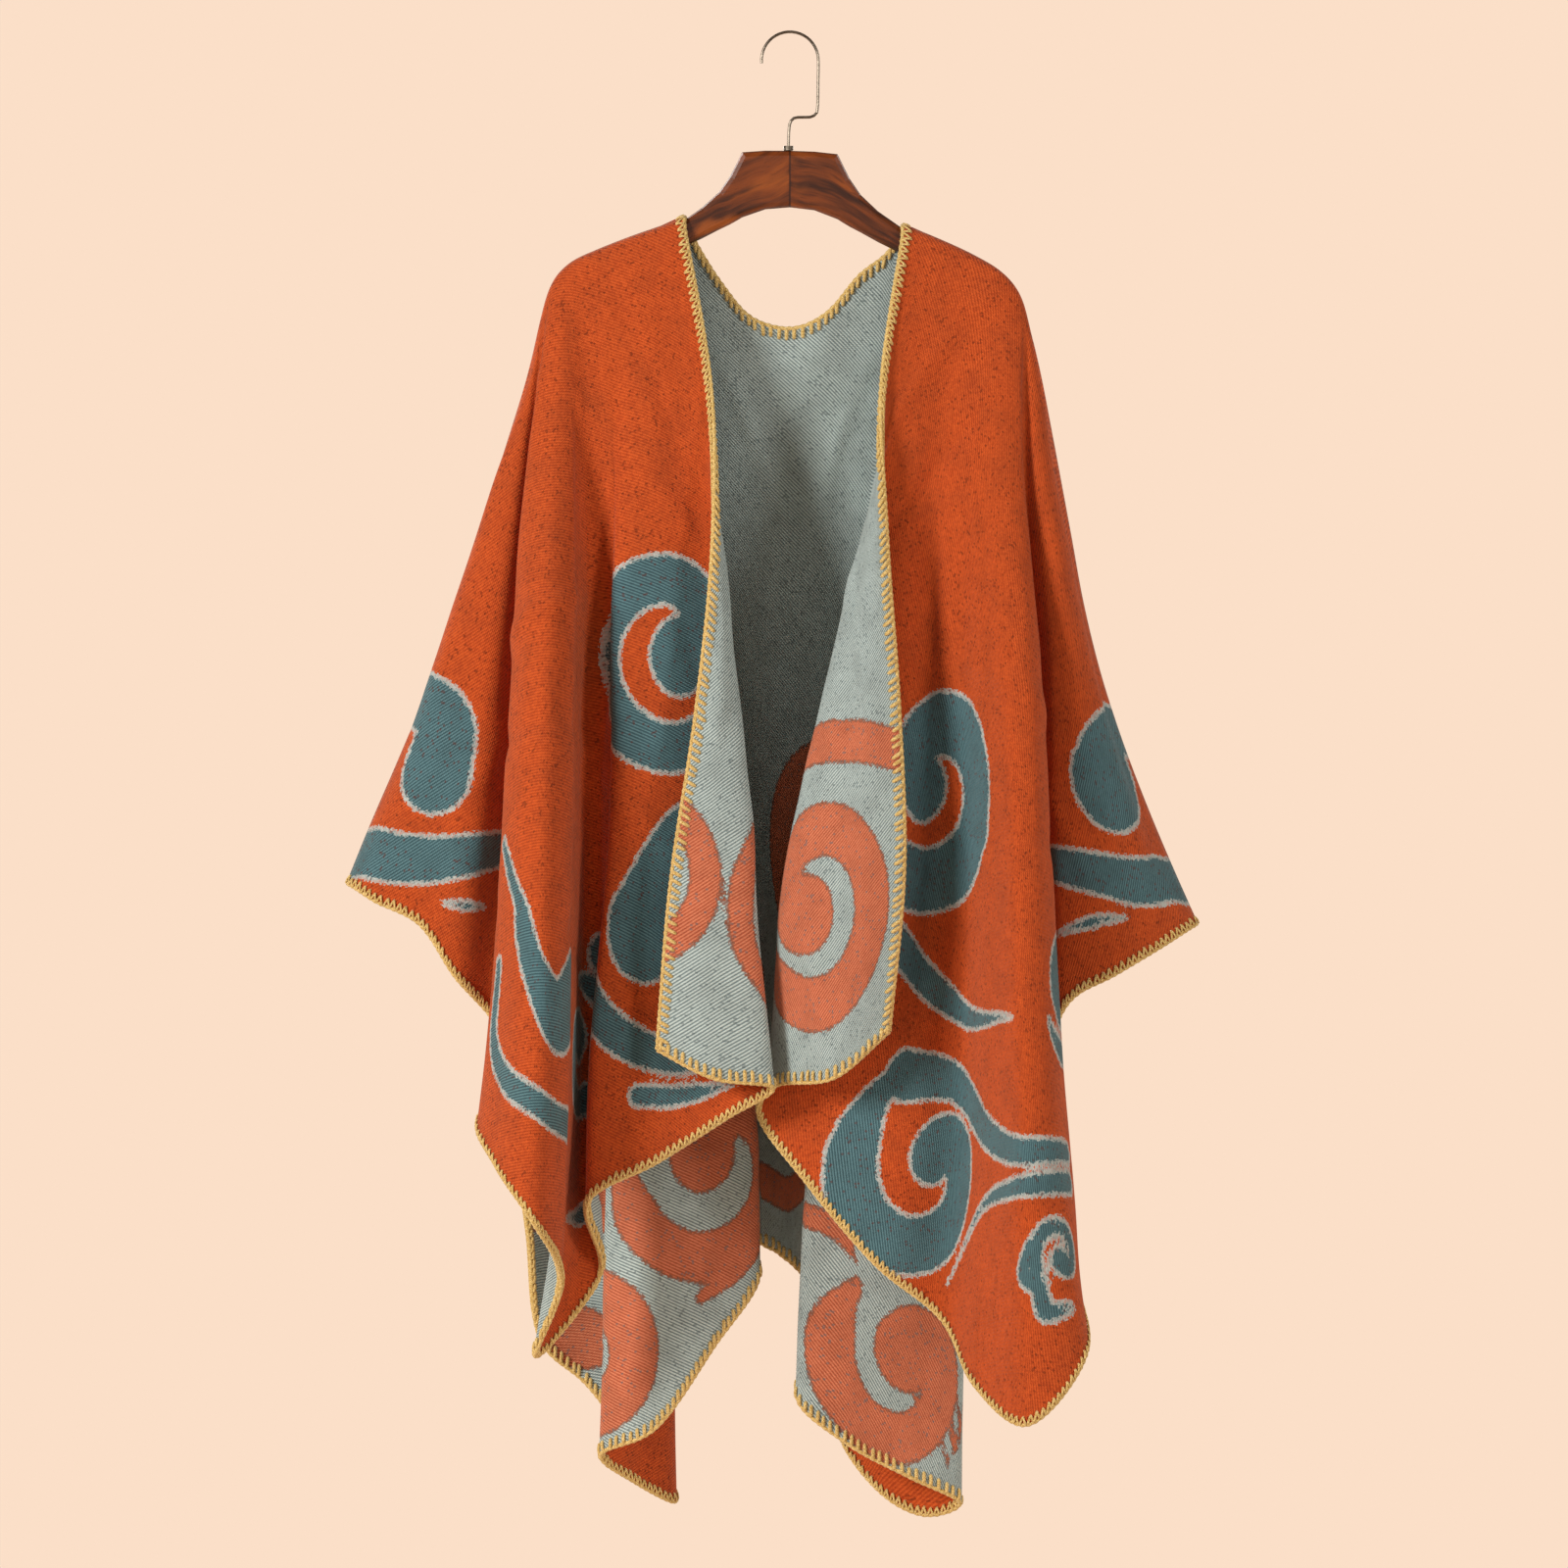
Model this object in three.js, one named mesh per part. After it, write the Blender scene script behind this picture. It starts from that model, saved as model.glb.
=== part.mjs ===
// Open-front poncho on a clothes hanger, in millimetres, +Z up.
// The origin is the inner top of the hanger's hook, -Y is the front and +X the viewer's right.
// The cloth is one rectangle with a slit up the front. It is divided where it folds over the hanger,
// and along some of its fold lines.
import * as THREE from 'three';

// Cloth
const WALL = 2.4;
const SEAM_GAP = 0.3;
const ROWS_DOWN = 18;
const FRONT_STEPS = 2;
const BACK_STEPS = 2;

// Hanger
const BAR_THICKNESS = 12;
const BAR_BEVEL = 4.3;
const BAR_TILT = 0.02;
const BAR_CLEARANCE = 2.4;
const BAR_TIP_INSET = 6;
const WIRE = 2.4;
const HOOK_RADIUS = 23.2;
const NUT_RADIUS = 4.2;
const NUT_HEIGHT = 3.6;
const NUT_TOP = -92;

// A table's rows become objects with the column names as keys.
const table = (columns, rows) => rows.map(
  (row) => Object.fromEntries(columns.map((name, i) => [name, row[i]])));

// Shoulder line: along the bar to its tip, then down the ridge of the wing to the side edge
const SEAM_COLUMNS = ['x', 'z'];
const SEAM_LEFT = table(SEAM_COLUMNS, [
  [-86, -150], [-94, -154], [-133, -168], [-158, -178], [-177, -187], [-189, -198],
  [-196, -211], [-202, -232], [-213, -279], [-244, -379], [-277, -485], [-307, -566],
  [-334, -628], [-361, -694],
]);
const SEAM_RIGHT = table(SEAM_COLUMNS, [
  [92, -157], [100, -160], [122, -169], [148, -181], [170, -194], [182, -206],
  [189, -219], [196, -246], [203, -275], [224, -385], [243, -485], [263, -556],
  [295, -642], [332, -727],
]);

// Each row is a fold line that falls from the shoulder line to the edge of the cloth. seam is where it
// starts, measured along the shoulder line from the neck. x and y are its places at 20, 40, 60 and 80
// percent of its drop, and the foot is its end on the hem or the side edge.
const FOLD_COLUMNS = ['fold', 'seam', 'x20', 'y20', 'x40', 'y40', 'x60', 'y60', 'x80', 'y80',
  'footX', 'footY', 'footZ'];
const FRONT_LEFT = table(FOLD_COLUMNS, [
  ['slit edge', 0, -65, -30, -63, -57, -76, -71, -96, -86, -107, -90, -827],
  ['lapel face', 8, -71, -28, -56, -55, -56, -74, -62, -90, -61, -95, -850],
  ['lapel fold', 16, -79, -27, -52, -44, -38, -61, -28, -77, -13, -84, -858],
  ['lapel back', 28, -90, -26, -64, -34, -58, -46, -60, -60, -50, -70, -882],
  ['front face', 46, -114, -30, -106, -45, -108, -57, -112, -67, -107, -76, -918],
  ['groove brink', 68, -144, -31, -146, -49, -150, -62, -158, -72, -163, -76, -950],
  ['groove floor', 82, -155, -26, -154, -33, -155, -35, -159, -37, -153, -40, -1008],
  ['column inner wall', 92, -165, -28, -167, -36, -169, -38, -171, -40, -172, -44, -1040],
  ['column wall', 99, -174, -38, -176, -64, -177, -84, -181, -96, -205, -66, -1076],
  ['column brink', 105, -177, -43, -176, -84, -177, -112, -179, -128, -184, -98, -1014],
  ['column crest', 112, -190, -48, -195, -100, -197, -134, -201, -152, -206, -150, -962],
  ['column side', 119, -203, -43, -212, -88, -218, -118, -224, -132, -236, -128, -919],
  ['column edge', 127, -212, -34, -222, -64, -229, -84, -237, -92, -250, -92, -886],
  ['column back', 137, -203, -25, -198, -33, -194, -38, -194, -41, -208, -50, -848],
  ['wing root', 150, -211, -19, -217, -20, -223, -20, -230, -22, -242, -26, -803],
  ['wing curl', 164, -219, -25, -231, -36, -243, -43, -256, -46, -270, -42, -771],
  ['wing face', 182, -229, -22, -248, -32, -266, -37, -284, -38, -301, -36, -726],
  ['wing shoulder', 204, -240, -16, -265, -21, -290, -24, -313, -25, -337, -25, -708],
  ['wing roll', 216, -243, -9, -270, -10, -296, -11, -324, -12, -353, -12, -698],
]);
const FRONT_RIGHT = table(FOLD_COLUMNS, [
  ['slit edge', 0, 75, -34, 79, -54, 88, -73, 92, -89, 80, -93, -812],
  ['lapel face', 9, 79, -31, 65, -55, 54, -78, 42, -94, 36, -98, -849],
  ['lapel fold', 18, 85, -28, 51, -44, 18, -58, -8, -63, -13, -57, -858],
  ['lapel back', 32, 97, -25, 66, -34, 42, -42, 14, -46, -26, -44, -878],
  ['lapel root', 50, 112, -27, 90, -37, 76, -46, 58, -50, 13, -50, -935],
  ['valley face', 66, 127, -30, 116, -43, 109, -53, 100, -58, 71, -60, -1003],
  ['valley floor', 80, 143, -32, 141, -45, 141, -53, 138, -57, 122, -64, -1045],
  ['column flank', 91, 158, -38, 161, -66, 163, -87, 161, -99, 150, -102, -1098],
  ['column crest', 99, 171, -43, 180, -86, 184, -118, 187, -137, 190, -144, -1125],
  ['column side', 106, 182, -40, 196, -80, 203, -108, 212, -126, 235, -128, -1075],
  ['column edge', 113, 190, -33, 204, -61, 212, -80, 221, -90, 233, -90, -1030],
  ['column back', 121, 186, -25, 186, -36, 185, -40, 186, -44, 196, -52, -950],
  ['wing root', 131, 192, -18, 199, -20, 203, -22, 205, -23, 205, -26, -862],
  ['wing valley', 144, 200, -23, 211, -32, 217, -37, 222, -38, 226, -37, -790],
  ['wing face', 160, 208, -23, 222, -34, 236, -40, 250, -42, 264, -40, -767],
  ['wing shoulder', 182, 217, -16, 234, -22, 256, -25, 280, -26, 305, -25, -743],
  ['wing roll', 198, 219, -9, 236, -10, 257, -11, 287, -12, 323, -12, -732],
]);
const BACK_LEFT = table(FOLD_COLUMNS, [
  ['wing roll', 216, -243, 9, -270, 10, -296, 11, -324, 12, -352, 12, -697],
  ['wing back', 202, -239, 20, -262, 32, -286, 40, -309, 46, -332, 46, -702],
  ['wing crest', 188, -231, 30, -250, 64, -268, 98, -284, 122, -298, 128, -720],
  ['wing flank', 176, -224, 27, -237, 50, -246, 70, -252, 82, -258, 84, -744],
  ['wing valley', 162, -215, 19, -222, 25, -228, 26, -235, 26, -245, 28, -790],
  ['side rise', 150, -209, 26, -212, 50, -215, 70, -220, 82, -229, 82, -880],
  ['side crest', 140, -202, 36, -203, 78, -205, 114, -209, 134, -217, 118, -985],
  ['back column left', 131, -195, 40, -191, 92, -189, 135, -191, 158, -206, 130, -1077],
  ['back column face', 123, -186, 40, -176, 93, -169, 138, -165, 163, -169, 138, -1112],
  ['back column side', 115, -177, 38, -158, 84, -142, 124, -130, 146, -126, 126, -1168],
  ['back column edge', 107, -168, 33, -141, 66, -117, 94, -99, 108, -94, 92, -1206],
  ['back pleat', 98, -161, 26, -142, 42, -134, 54, -132, 60, -130, 60, -1186],
  ['tail left edge', 88, -153, 22, -149, 24, -149, 28, -150, 30, -156, 32, -1163],
  ['tail left face', 77, -142, 20, -128, 14, -117, 10, -111, 8, -112, 8, -1141],
  ['tail left side', 62, -126, 20, -104, 14, -82, 9, -68, 7, -62, 8, -1072],
  ['tail right edge', 48, -112, 20, -80, 18, -50, 16, -31, 15, -25, 16, -1013],
  ['inner pleat', 36, -101, 25, -82, 37, -74, 50, -76, 60, -78, 64, -1000],
  ['centre flank', 20, -88, 29, -59, 49, -43, 69, -35, 82, -32, 86, -991],
  ['neck top', 0, -76, 30, -54, 52, -39, 74, -31, 88, -27, 92, -992],
]);
const BACK_RIGHT = table(FOLD_COLUMNS, [
  ['wing roll', 198, 219, 9, 236, 10, 257, 11, 287, 12, 322, 12, -731],
  ['wing back', 186, 216, 20, 233, 32, 254, 40, 277, 46, 301, 46, -739],
  ['wing crest', 172, 211, 30, 226, 64, 242, 96, 258, 118, 271, 122, -750],
  ['wing flank', 160, 206, 27, 216, 50, 225, 68, 233, 80, 240, 82, -766],
  ['wing valley', 148, 199, 19, 204, 25, 208, 26, 211, 26, 212, 28, -800],
  ['side rise', 137, 194, 26, 196, 50, 199, 70, 202, 82, 206, 84, -850],
  ['side crest', 128, 188, 36, 187, 78, 188, 114, 188, 136, 184, 136, -900],
  ['back column right', 119, 180, 40, 172, 92, 165, 136, 158, 162, 146, 160, -955],
  ['back column face', 110, 172, 40, 156, 91, 140, 134, 126, 158, 108, 154, -1010],
  ['back column side', 101, 162, 38, 137, 80, 112, 114, 90, 132, 70, 126, -1065],
  ['back column edge', 92, 152, 31, 119, 60, 84, 80, 56, 90, 38, 82, -1138],
  ['back pleat', 83, 144, 25, 122, 38, 102, 48, 86, 54, 76, 50, -1196],
  ['tail underside', 74, 138, 22, 130, 29, 124, 36, 118, 42, 112, 40, -1213],
  ['tail right edge', 68, 135, 20, 137, 22, 140, 24, 142, 26, 140, 24, -1202],
  ['tail right face', 59, 124, 19, 110, 14, 103, 10, 100, 8, 98, 8, -1179],
  ['tail left face', 50, 113, 19, 84, 14, 64, 10, 50, 8, 46, 8, -1151],
  ['tail left edge', 40, 104, 20, 66, 18, 36, 16, 14, 15, 5, 16, -1113],
  ['inner pleat', 30, 98, 25, 78, 38, 65, 50, 62, 60, 60, 64, -1068],
  ['centre flank', 18, 90, 29, 60, 49, 43, 69, 34, 82, 28, 86, -1030],
  ['neck top', 0, 79, 30, 56, 52, 39, 74, 29, 88, 23, 92, -1027],
]);

// The same for the lines that fall from the back neck, whose tops are given by place
const NECK_COLUMNS = ['fold', 'topX', 'topY', 'topZ', 'x20', 'y20', 'x40', 'y40', 'x60', 'y60', 'x80', 'y80',
  'footX', 'footY', 'footZ'];
const BACK_NECK = table(NECK_COLUMNS, [
  ['neck corner left', -85.8, 9.6, -153.8, -69, 32, -49, 55, -35, 77, -27, 91, -23, 95, -993],
  ['neck left', -74, 12, -176, -58, 34, -41, 57, -29, 79, -22, 93, -18, 97, -996],
  ['neck left side', -56, 15, -204, -43, 36, -31, 60, -21, 82, -15, 97, -12, 102, -999],
  ['neck left floor', -31, 19, -232, -24, 38, -18, 63, -12, 86, -8, 101, -5, 107, -1005],
  ['neck middle', 3, 21, -240, 3, 39, 3, 64, 2, 88, 2, 103, 2, 109, -1010],
  ['neck right floor', 30, 19, -228, 26, 38, 20, 63, 14, 86, 9, 101, 7, 107, -1015],
  ['neck right side', 58, 15, -196, 46, 36, 33, 60, 23, 82, 16, 97, 12, 102, -1020],
  ['neck right', 79, 12, -180, 61, 34, 43, 57, 29, 79, 20, 93, 15, 97, -1022],
  ['neck corner right', 91, 9.6, -161.5, 73, 32, 51, 55, 34, 77, 24, 91, 18, 95, -1024],
]);

// Each panel is divided into simple strips. first and last count its fold lines, from the slit edge to the
// ridge, or on the back from the left ridge to the right one. top and bottom count its rows.
const STRIP_COLUMNS = ['node', 'first', 'last', 'top', 'bottom'];
const FRONT_LEFT_STRIPS = table(STRIP_COLUMNS, [
  ['front_left_shoulder', 0, 6, 0, 4],
  ['front_left_lapel', 0, 2, 4, 18],
  ['front_left_face', 2, 6, 4, 18],
  ['front_left_column', 6, 13, 0, 18],
  ['front_left_wing', 13, 19, 0, 18],
]);
const FRONT_RIGHT_STRIPS = table(STRIP_COLUMNS, [
  ['front_right_shoulder', 0, 6, 0, 4],
  ['front_right_lapel', 0, 2, 4, 18],
  ['front_right_face', 2, 6, 4, 18],
  ['front_right_column', 6, 11, 0, 18],
  ['front_right_wing', 11, 17, 0, 18],
]);
const BACK_STRIPS = table(STRIP_COLUMNS, [
  ['back_left_wing', 0, 3, 0, 18],
  ['back_left_wing_fold', 3, 5, 0, 18],
  ['back_left_side', 5, 8, 0, 18],
  ['back_left_column', 8, 12, 0, 18],
  ['back_left_shoulder', 12, 23, 0, 4],
  ['back_left_tail', 12, 17, 4, 18],
  ['back_left_neck', 17, 23, 4, 18],
  ['back_neck', 23, 25, 0, 18],
  ['back_right_neck', 25, 31, 4, 18],
  ['back_right_tail', 31, 37, 4, 18],
  ['back_right_shoulder', 25, 37, 0, 4],
  ['back_right_column', 37, 41, 0, 18],
  ['back_right_side', 41, 44, 0, 18],
  ['back_right_wing_fold', 44, 46, 0, 18],
  ['back_right_wing', 46, 49, 0, 18],
]);

// Half of the bar's outline, from its middle to its tip: top and underside at each distance from the middle
const BAR_PROFILE = table(['x', 'top', 'under'], [
  [0, -96, -142], [20, -96.3, -144], [39, -98, -151], [43, -106, -153.5], [49, -118, -157],
  [58, -131, -161.5], [72, -144, -169],
]);
const BAR_END_UNDER = table(['x', 'under'], [[95, -180], [130, -196], [160, -209], [176, -215]]);

const shoulderCurve = (seam) => new THREE.CatmullRomCurve3(
  seam.map(({ x, z }) => new THREE.Vector3(x, 0, z)), false, 'centripetal');

// The point on a curve at a distance from its start
const pointAt = (curve, distance) => curve.getPointAt(Math.min(1, distance / curve.getLength()));

// A fold line from the shoulder line: over the bar or the ridge, down the drop, to its foot
const SHOULDER_ROUND = { y: 6.5, drop: 2.2 };
const SHOULDER_BROW = { y: 9.5, drop: 8 };
const NECK_FLARE = 1.5;
const NECK_REACH = 16;
function foldLine(row, top, side, rounded) {
  const points = [top];
  if (rounded) {
    const flare = side > 0 ? Math.sign(top.x) * Math.max(0, NECK_FLARE * (1 - row.seam / NECK_REACH)) : 0;
    for (const { y, drop } of [SHOULDER_ROUND, SHOULDER_BROW]) {
      points.push(new THREE.Vector3(top.x + flare * drop, side * y, top.z - drop));
    }
  }
  const drop = row.footZ - top.z;
  for (const percent of [20, 40, 60, 80]) {
    points.push(new THREE.Vector3(row[`x${percent}`], row[`y${percent}`], top.z + drop * percent / 100));
  }
  points.push(new THREE.Vector3(row.footX, row.footY, row.footZ));
  return new THREE.CatmullRomCurve3(points, false, 'centripetal');
}

// The line along the ridge of the wing, below the last fold line's top
function ridgeLine(seam, start, side) {
  const curve = shoulderCurve(seam);
  const length = curve.getLength();
  const points = [];
  for (let i = 0; i <= 8; i += 1) {
    const point = pointAt(curve, start + (length - start) * i / 8);
    points.push(new THREE.Vector3(point.x, side * SEAM_GAP, point.z));
  }
  return new THREE.CatmullRomCurve3(points, false, 'centripetal');
}

const foldLines = (rows, seam, side) => {
  const curve = shoulderCurve(seam);
  return rows.map((row) => {
    const top = pointAt(curve, row.seam);
    return foldLine(row, new THREE.Vector3(top.x, side * SEAM_GAP, top.z), side, true);
  });
};

const neckLines = (rows) => rows.map(
  (row) => foldLine(row, new THREE.Vector3(row.topX, row.topY, row.topZ), 1, false));

// The middle of the cloth as a grid: rows across, with the first rows close together over the bar
const HEAD_DISTANCES = [0, 6, 13, 30];
function clothGrid(lines, steps) {
  const grid = [];
  for (let j = 0; j <= ROWS_DOWN; j += 1) {
    const across = lines.map((line) => {
      const length = line.getLength();
      const last = HEAD_DISTANCES.length - 1;
      const start = HEAD_DISTANCES[Math.min(j, last)];
      return pointAt(line, start + (length - start) * Math.max(0, j - last) / (ROWS_DOWN - last));
    });
    const curve = new THREE.CatmullRomCurve3(across, false, 'centripetal');
    grid.push(curve.getPoints((lines.length - 1) * steps));
  }
  return grid;
}

// The directions along the row and down the column at a point of a grid
function directions(grid, j, i) {
  const row = grid[j];
  const along = row[Math.min(i + 1, row.length - 1)].clone().sub(row[Math.max(i - 1, 0)]);
  const down = grid[Math.min(j + 1, grid.length - 1)][i].clone().sub(grid[Math.max(j - 1, 0)][i]);
  return { along, down };
}

// The cloth's outer and inner face, each half a wall's thickness off the middle. outward is 1 where
// (along a row) x (down) faces out.
function clothFaces(grid, outward, side) {
  return [1, -1].map((face) => grid.map((row, j) => row.map((middle, i) => {
    const { along, down } = directions(grid, j, i);
    const normal = along.cross(down).normalize().multiplyScalar(outward * face * WALL / 2);
    const point = middle.clone().add(normal);
    point.y = side * Math.max(side * point.y, SEAM_GAP / 2);
    return point;
  })));
}

// A block of a face's rows and columns. Where the cloth goes on, the block's edge gives way by half a seam
// gap, square to the cut.
function block(face, grid, { first, last, top, bottom }) {
  const squareTo = (vector, other, way) => (
    vector.clone().sub(vector.clone().projectOnVector(other)).setLength(way * SEAM_GAP / 2));
  return face.slice(top, bottom + 1).map((row, k) => row.slice(first, last + 1).map((corner, l) => {
    const [j, i] = [top + k, first + l];
    const point = corner.clone();
    const { along, down } = directions(grid, j, i);
    if (i === first && first > 0) point.add(squareTo(along, down, 1));
    if (i === last && last < row.length - 1) point.add(squareTo(along, down, -1));
    if (j === top && top > 0) point.add(squareTo(down, along, 1));
    if (j === bottom && bottom < face.length - 1) point.add(squareTo(down, along, -1));
    return point;
  }));
}

// A closed wall between an outer and an inner face. The two edges along a cut have the same diagonals.
function clothWall([outer, inner], outward) {
  const rows = outer.length;
  const columns = outer[0].length;
  const positions = [outer, inner].flat(2).flatMap(({ x, y, z }) => [x, y, z]);
  const vertex = (layer, j, i) => layer * rows * columns + j * columns + i;
  const indices = [];
  const quad = (a, b, c, d) => {
    indices.push(...(outward > 0 ? [a, b, c, a, c, d] : [a, c, b, a, d, c]));
  };
  for (let j = 0; j + 1 < rows; j += 1) {
    for (let i = 0; i + 1 < columns; i += 1) {
      quad(vertex(0, j, i), vertex(0, j, i + 1), vertex(0, j + 1, i + 1), vertex(0, j + 1, i));
      quad(vertex(1, j, i), vertex(1, j + 1, i), vertex(1, j + 1, i + 1), vertex(1, j, i + 1));
    }
  }
  const border = [];
  for (let i = 0; i + 1 < columns; i += 1) border.push([0, i]);
  for (let j = 0; j + 1 < rows; j += 1) border.push([j, columns - 1]);
  for (let i = columns - 1; i > 0; i -= 1) border.push([rows - 1, i]);
  for (let j = rows - 1; j > 0; j -= 1) border.push([j, 0]);
  border.forEach(([j, i], k) => {
    const [nextJ, nextI] = border[(k + 1) % border.length];
    const corners = [vertex(0, j, i), vertex(1, j, i), vertex(1, nextJ, nextI), vertex(0, nextJ, nextI)];
    if (nextJ < j || nextI > i) corners.push(corners.shift());
    quad(...corners);
  });
  const geometry = new THREE.BufferGeometry();
  geometry.setAttribute('position', new THREE.Float32BufferAttribute(positions, 3));
  geometry.setIndex(indices);
  geometry.computeVertexNormals();
  return geometry;
}

function frontLines(rows, seam) {
  return [...foldLines(rows, seam, -1), ridgeLine(seam, rows.at(-1).seam + 4, -1)];
}

function backLines() {
  return [
    ridgeLine(SEAM_LEFT, BACK_LEFT[0].seam + 4, 1),
    ...foldLines(BACK_LEFT, SEAM_LEFT, 1),
    ...neckLines(BACK_NECK),
    ...foldLines(BACK_RIGHT, SEAM_RIGHT, 1).reverse(),
    ridgeLine(SEAM_RIGHT, BACK_RIGHT[0].seam + 4, 1),
  ];
}

// The bar's outline follows the shoulder line under the cloth, and its own profile between the fronts
function barGeometry() {
  const shoulderTop = (seam) => [
    ...seam.slice(0, 5).map(({ x, z }) => [x, z - BAR_CLEARANCE]),
    [seam[5].x - Math.sign(seam[5].x) * BAR_TIP_INSET, seam[5].z - BAR_TIP_INSET],
  ];
  const tilted = (x, z) => [x, z - x * BAR_TILT];
  const middleTop = BAR_PROFILE.map(({ x, top }) => tilted(x, top));
  const middleTopLeft = BAR_PROFILE.slice(1).map(({ x, top }) => tilted(-x, top)).reverse();
  const under = [...BAR_PROFILE, ...BAR_END_UNDER];
  const underRight = under.map((row) => tilted(row.x, row.under)).reverse();
  const underLeft = under.slice(1).map((row) => tilted(-row.x, row.under));
  const outline = [
    ...shoulderTop(SEAM_LEFT).reverse(), ...middleTopLeft, ...middleTop,
    ...shoulderTop(SEAM_RIGHT), ...underRight, ...underLeft,
  ];
  const shape = new THREE.Shape(outline.map(([x, z]) => new THREE.Vector2(x, z)));
  const geometry = new THREE.ExtrudeGeometry(shape, {
    depth: BAR_THICKNESS - 2 * BAR_BEVEL, steps: 1, bevelEnabled: true, bevelThickness: BAR_BEVEL,
    bevelSize: BAR_BEVEL, bevelOffset: -BAR_BEVEL, bevelSegments: 2,
  });
  geometry.translate(0, 0, -(BAR_THICKNESS / 2 - BAR_BEVEL));
  geometry.rotateX(Math.PI / 2);
  return geometry;
}

// The hook: an arc over the rail, a straight shank, a jog back to the middle and a stem into the nut
function hookGeometry() {
  const centreZ = WIRE / 2 - HOOK_RADIUS;
  const points = [];
  for (let degrees = 186; degrees >= 0; degrees -= 12) {
    const angle = THREE.MathUtils.degToRad(degrees);
    points.push([HOOK_RADIUS * Math.cos(angle), centreZ + HOOK_RADIUS * Math.sin(angle)]);
  }
  points.push([23, -42], [22.6, -60], [21.6, -65.5], [17.6, -68.2], [10, -68.6], [3.4, -69.2],
    [0.4, -72.4], [-0.8, -80], [-1.2, NUT_TOP + SEAM_GAP]);
  const path = new THREE.CatmullRomCurve3(
    points.map(([x, z]) => new THREE.Vector3(x, 0, z)), false, 'centripetal');
  const section = new THREE.Shape();
  section.absarc(0, 0, WIRE / 2, 0, 2 * Math.PI, false);
  return new THREE.ExtrudeGeometry(section, {
    extrudePath: path, steps: 48, curveSegments: 5, bevelEnabled: false,
  });
}

function nutGeometry() {
  const geometry = new THREE.CylinderGeometry(NUT_RADIUS, NUT_RADIUS, NUT_HEIGHT, 12);
  geometry.rotateX(Math.PI / 2);
  geometry.translate(-1.2, 0, NUT_TOP - NUT_HEIGHT / 2);
  return geometry;
}

const cloth = (color) => new THREE.MeshStandardMaterial(
  { color, roughness: 0.95, metalness: 0, side: THREE.DoubleSide });
const wood = new THREE.MeshStandardMaterial({ color: 0x6b2a0f, roughness: 0.3, metalness: 0 });
const metal = new THREE.MeshStandardMaterial({ color: 0xa79a8a, roughness: 0.25, metalness: 1 });

const part = new THREE.Group();
function add(name, geometry, material) {
  const mesh = new THREE.Mesh(geometry, material);
  mesh.name = name;
  part.add(mesh);
}
function addCloth(strips, lines, steps, outward, side) {
  const grid = clothGrid(lines, steps);
  const faces = clothFaces(grid, outward, side);
  for (const { node, first, last, top, bottom } of strips) {
    const range = { first: first * steps, last: last * steps, top, bottom };
    const cut = faces.map((face) => block(face, grid, range));
    add(node, clothWall(cut, outward), cloth(0xc4511f));
  }
}
addCloth(FRONT_LEFT_STRIPS, frontLines(FRONT_LEFT, SEAM_LEFT), FRONT_STEPS, 1, -1);
addCloth(FRONT_RIGHT_STRIPS, frontLines(FRONT_RIGHT, SEAM_RIGHT), FRONT_STEPS, -1, -1);
addCloth(BACK_STRIPS, backLines(), BACK_STEPS, 1, 1);
add('hanger_bar', barGeometry(), wood);
add('hanger_hook', hookGeometry(), metal);
add('hanger_nut', nutGeometry(), metal);

export default part;
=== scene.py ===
import bpy
import math
import numpy as np
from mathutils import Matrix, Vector


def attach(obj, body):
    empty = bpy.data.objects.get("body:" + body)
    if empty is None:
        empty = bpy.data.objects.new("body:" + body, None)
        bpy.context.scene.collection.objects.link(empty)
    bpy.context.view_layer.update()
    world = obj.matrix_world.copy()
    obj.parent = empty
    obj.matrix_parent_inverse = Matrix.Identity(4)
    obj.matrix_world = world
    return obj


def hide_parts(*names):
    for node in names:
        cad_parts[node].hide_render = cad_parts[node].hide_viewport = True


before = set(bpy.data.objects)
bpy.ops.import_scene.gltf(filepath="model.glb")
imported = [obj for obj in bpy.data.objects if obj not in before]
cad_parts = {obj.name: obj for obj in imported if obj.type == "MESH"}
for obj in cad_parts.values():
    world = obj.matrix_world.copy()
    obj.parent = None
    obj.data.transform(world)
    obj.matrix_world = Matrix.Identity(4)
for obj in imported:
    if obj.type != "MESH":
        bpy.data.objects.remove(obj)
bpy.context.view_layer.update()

MM = 0.001                      # lengths are in millimetres until the meshes are made
WALL = 2.4                      # thickness of the cloth
SEAM_GAP = 0.3                  # distance from the shoulder line to where each panel's fold lines start
FLUSH_GAP = 0.04                # what is left between two panels there, as they are one cloth
FRONT_CELL = 4.9                # distance between the mesh's points on a front
BACK_CELL = 7.1                 # on the back
HEAD_STEP = 3.0                 # and over the hanger's bar, which takes the first HEAD of each fold line
HEAD = 30.0
NECK_HALF = 86.0                # half of the neck's width along the shoulder line

# The shoulder line, as x and z, and the fold lines are those of the solids.
SEAM_LEFT = [
    (-86, -150), (-94, -154), (-133, -168), (-158, -178), (-177, -187), (-189, -198), (-196, -211),
    (-202, -232), (-213, -279), (-244, -379), (-277, -485), (-307, -566), (-334, -628), (-361, -694)]
SEAM_RIGHT = [
    (92, -157), (100, -160), (122, -169), (148, -181), (170, -194), (182, -206), (189, -219),
    (196, -246), (203, -275), (224, -385), (243, -485), (263, -556), (295, -642), (332, -727)]
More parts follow.
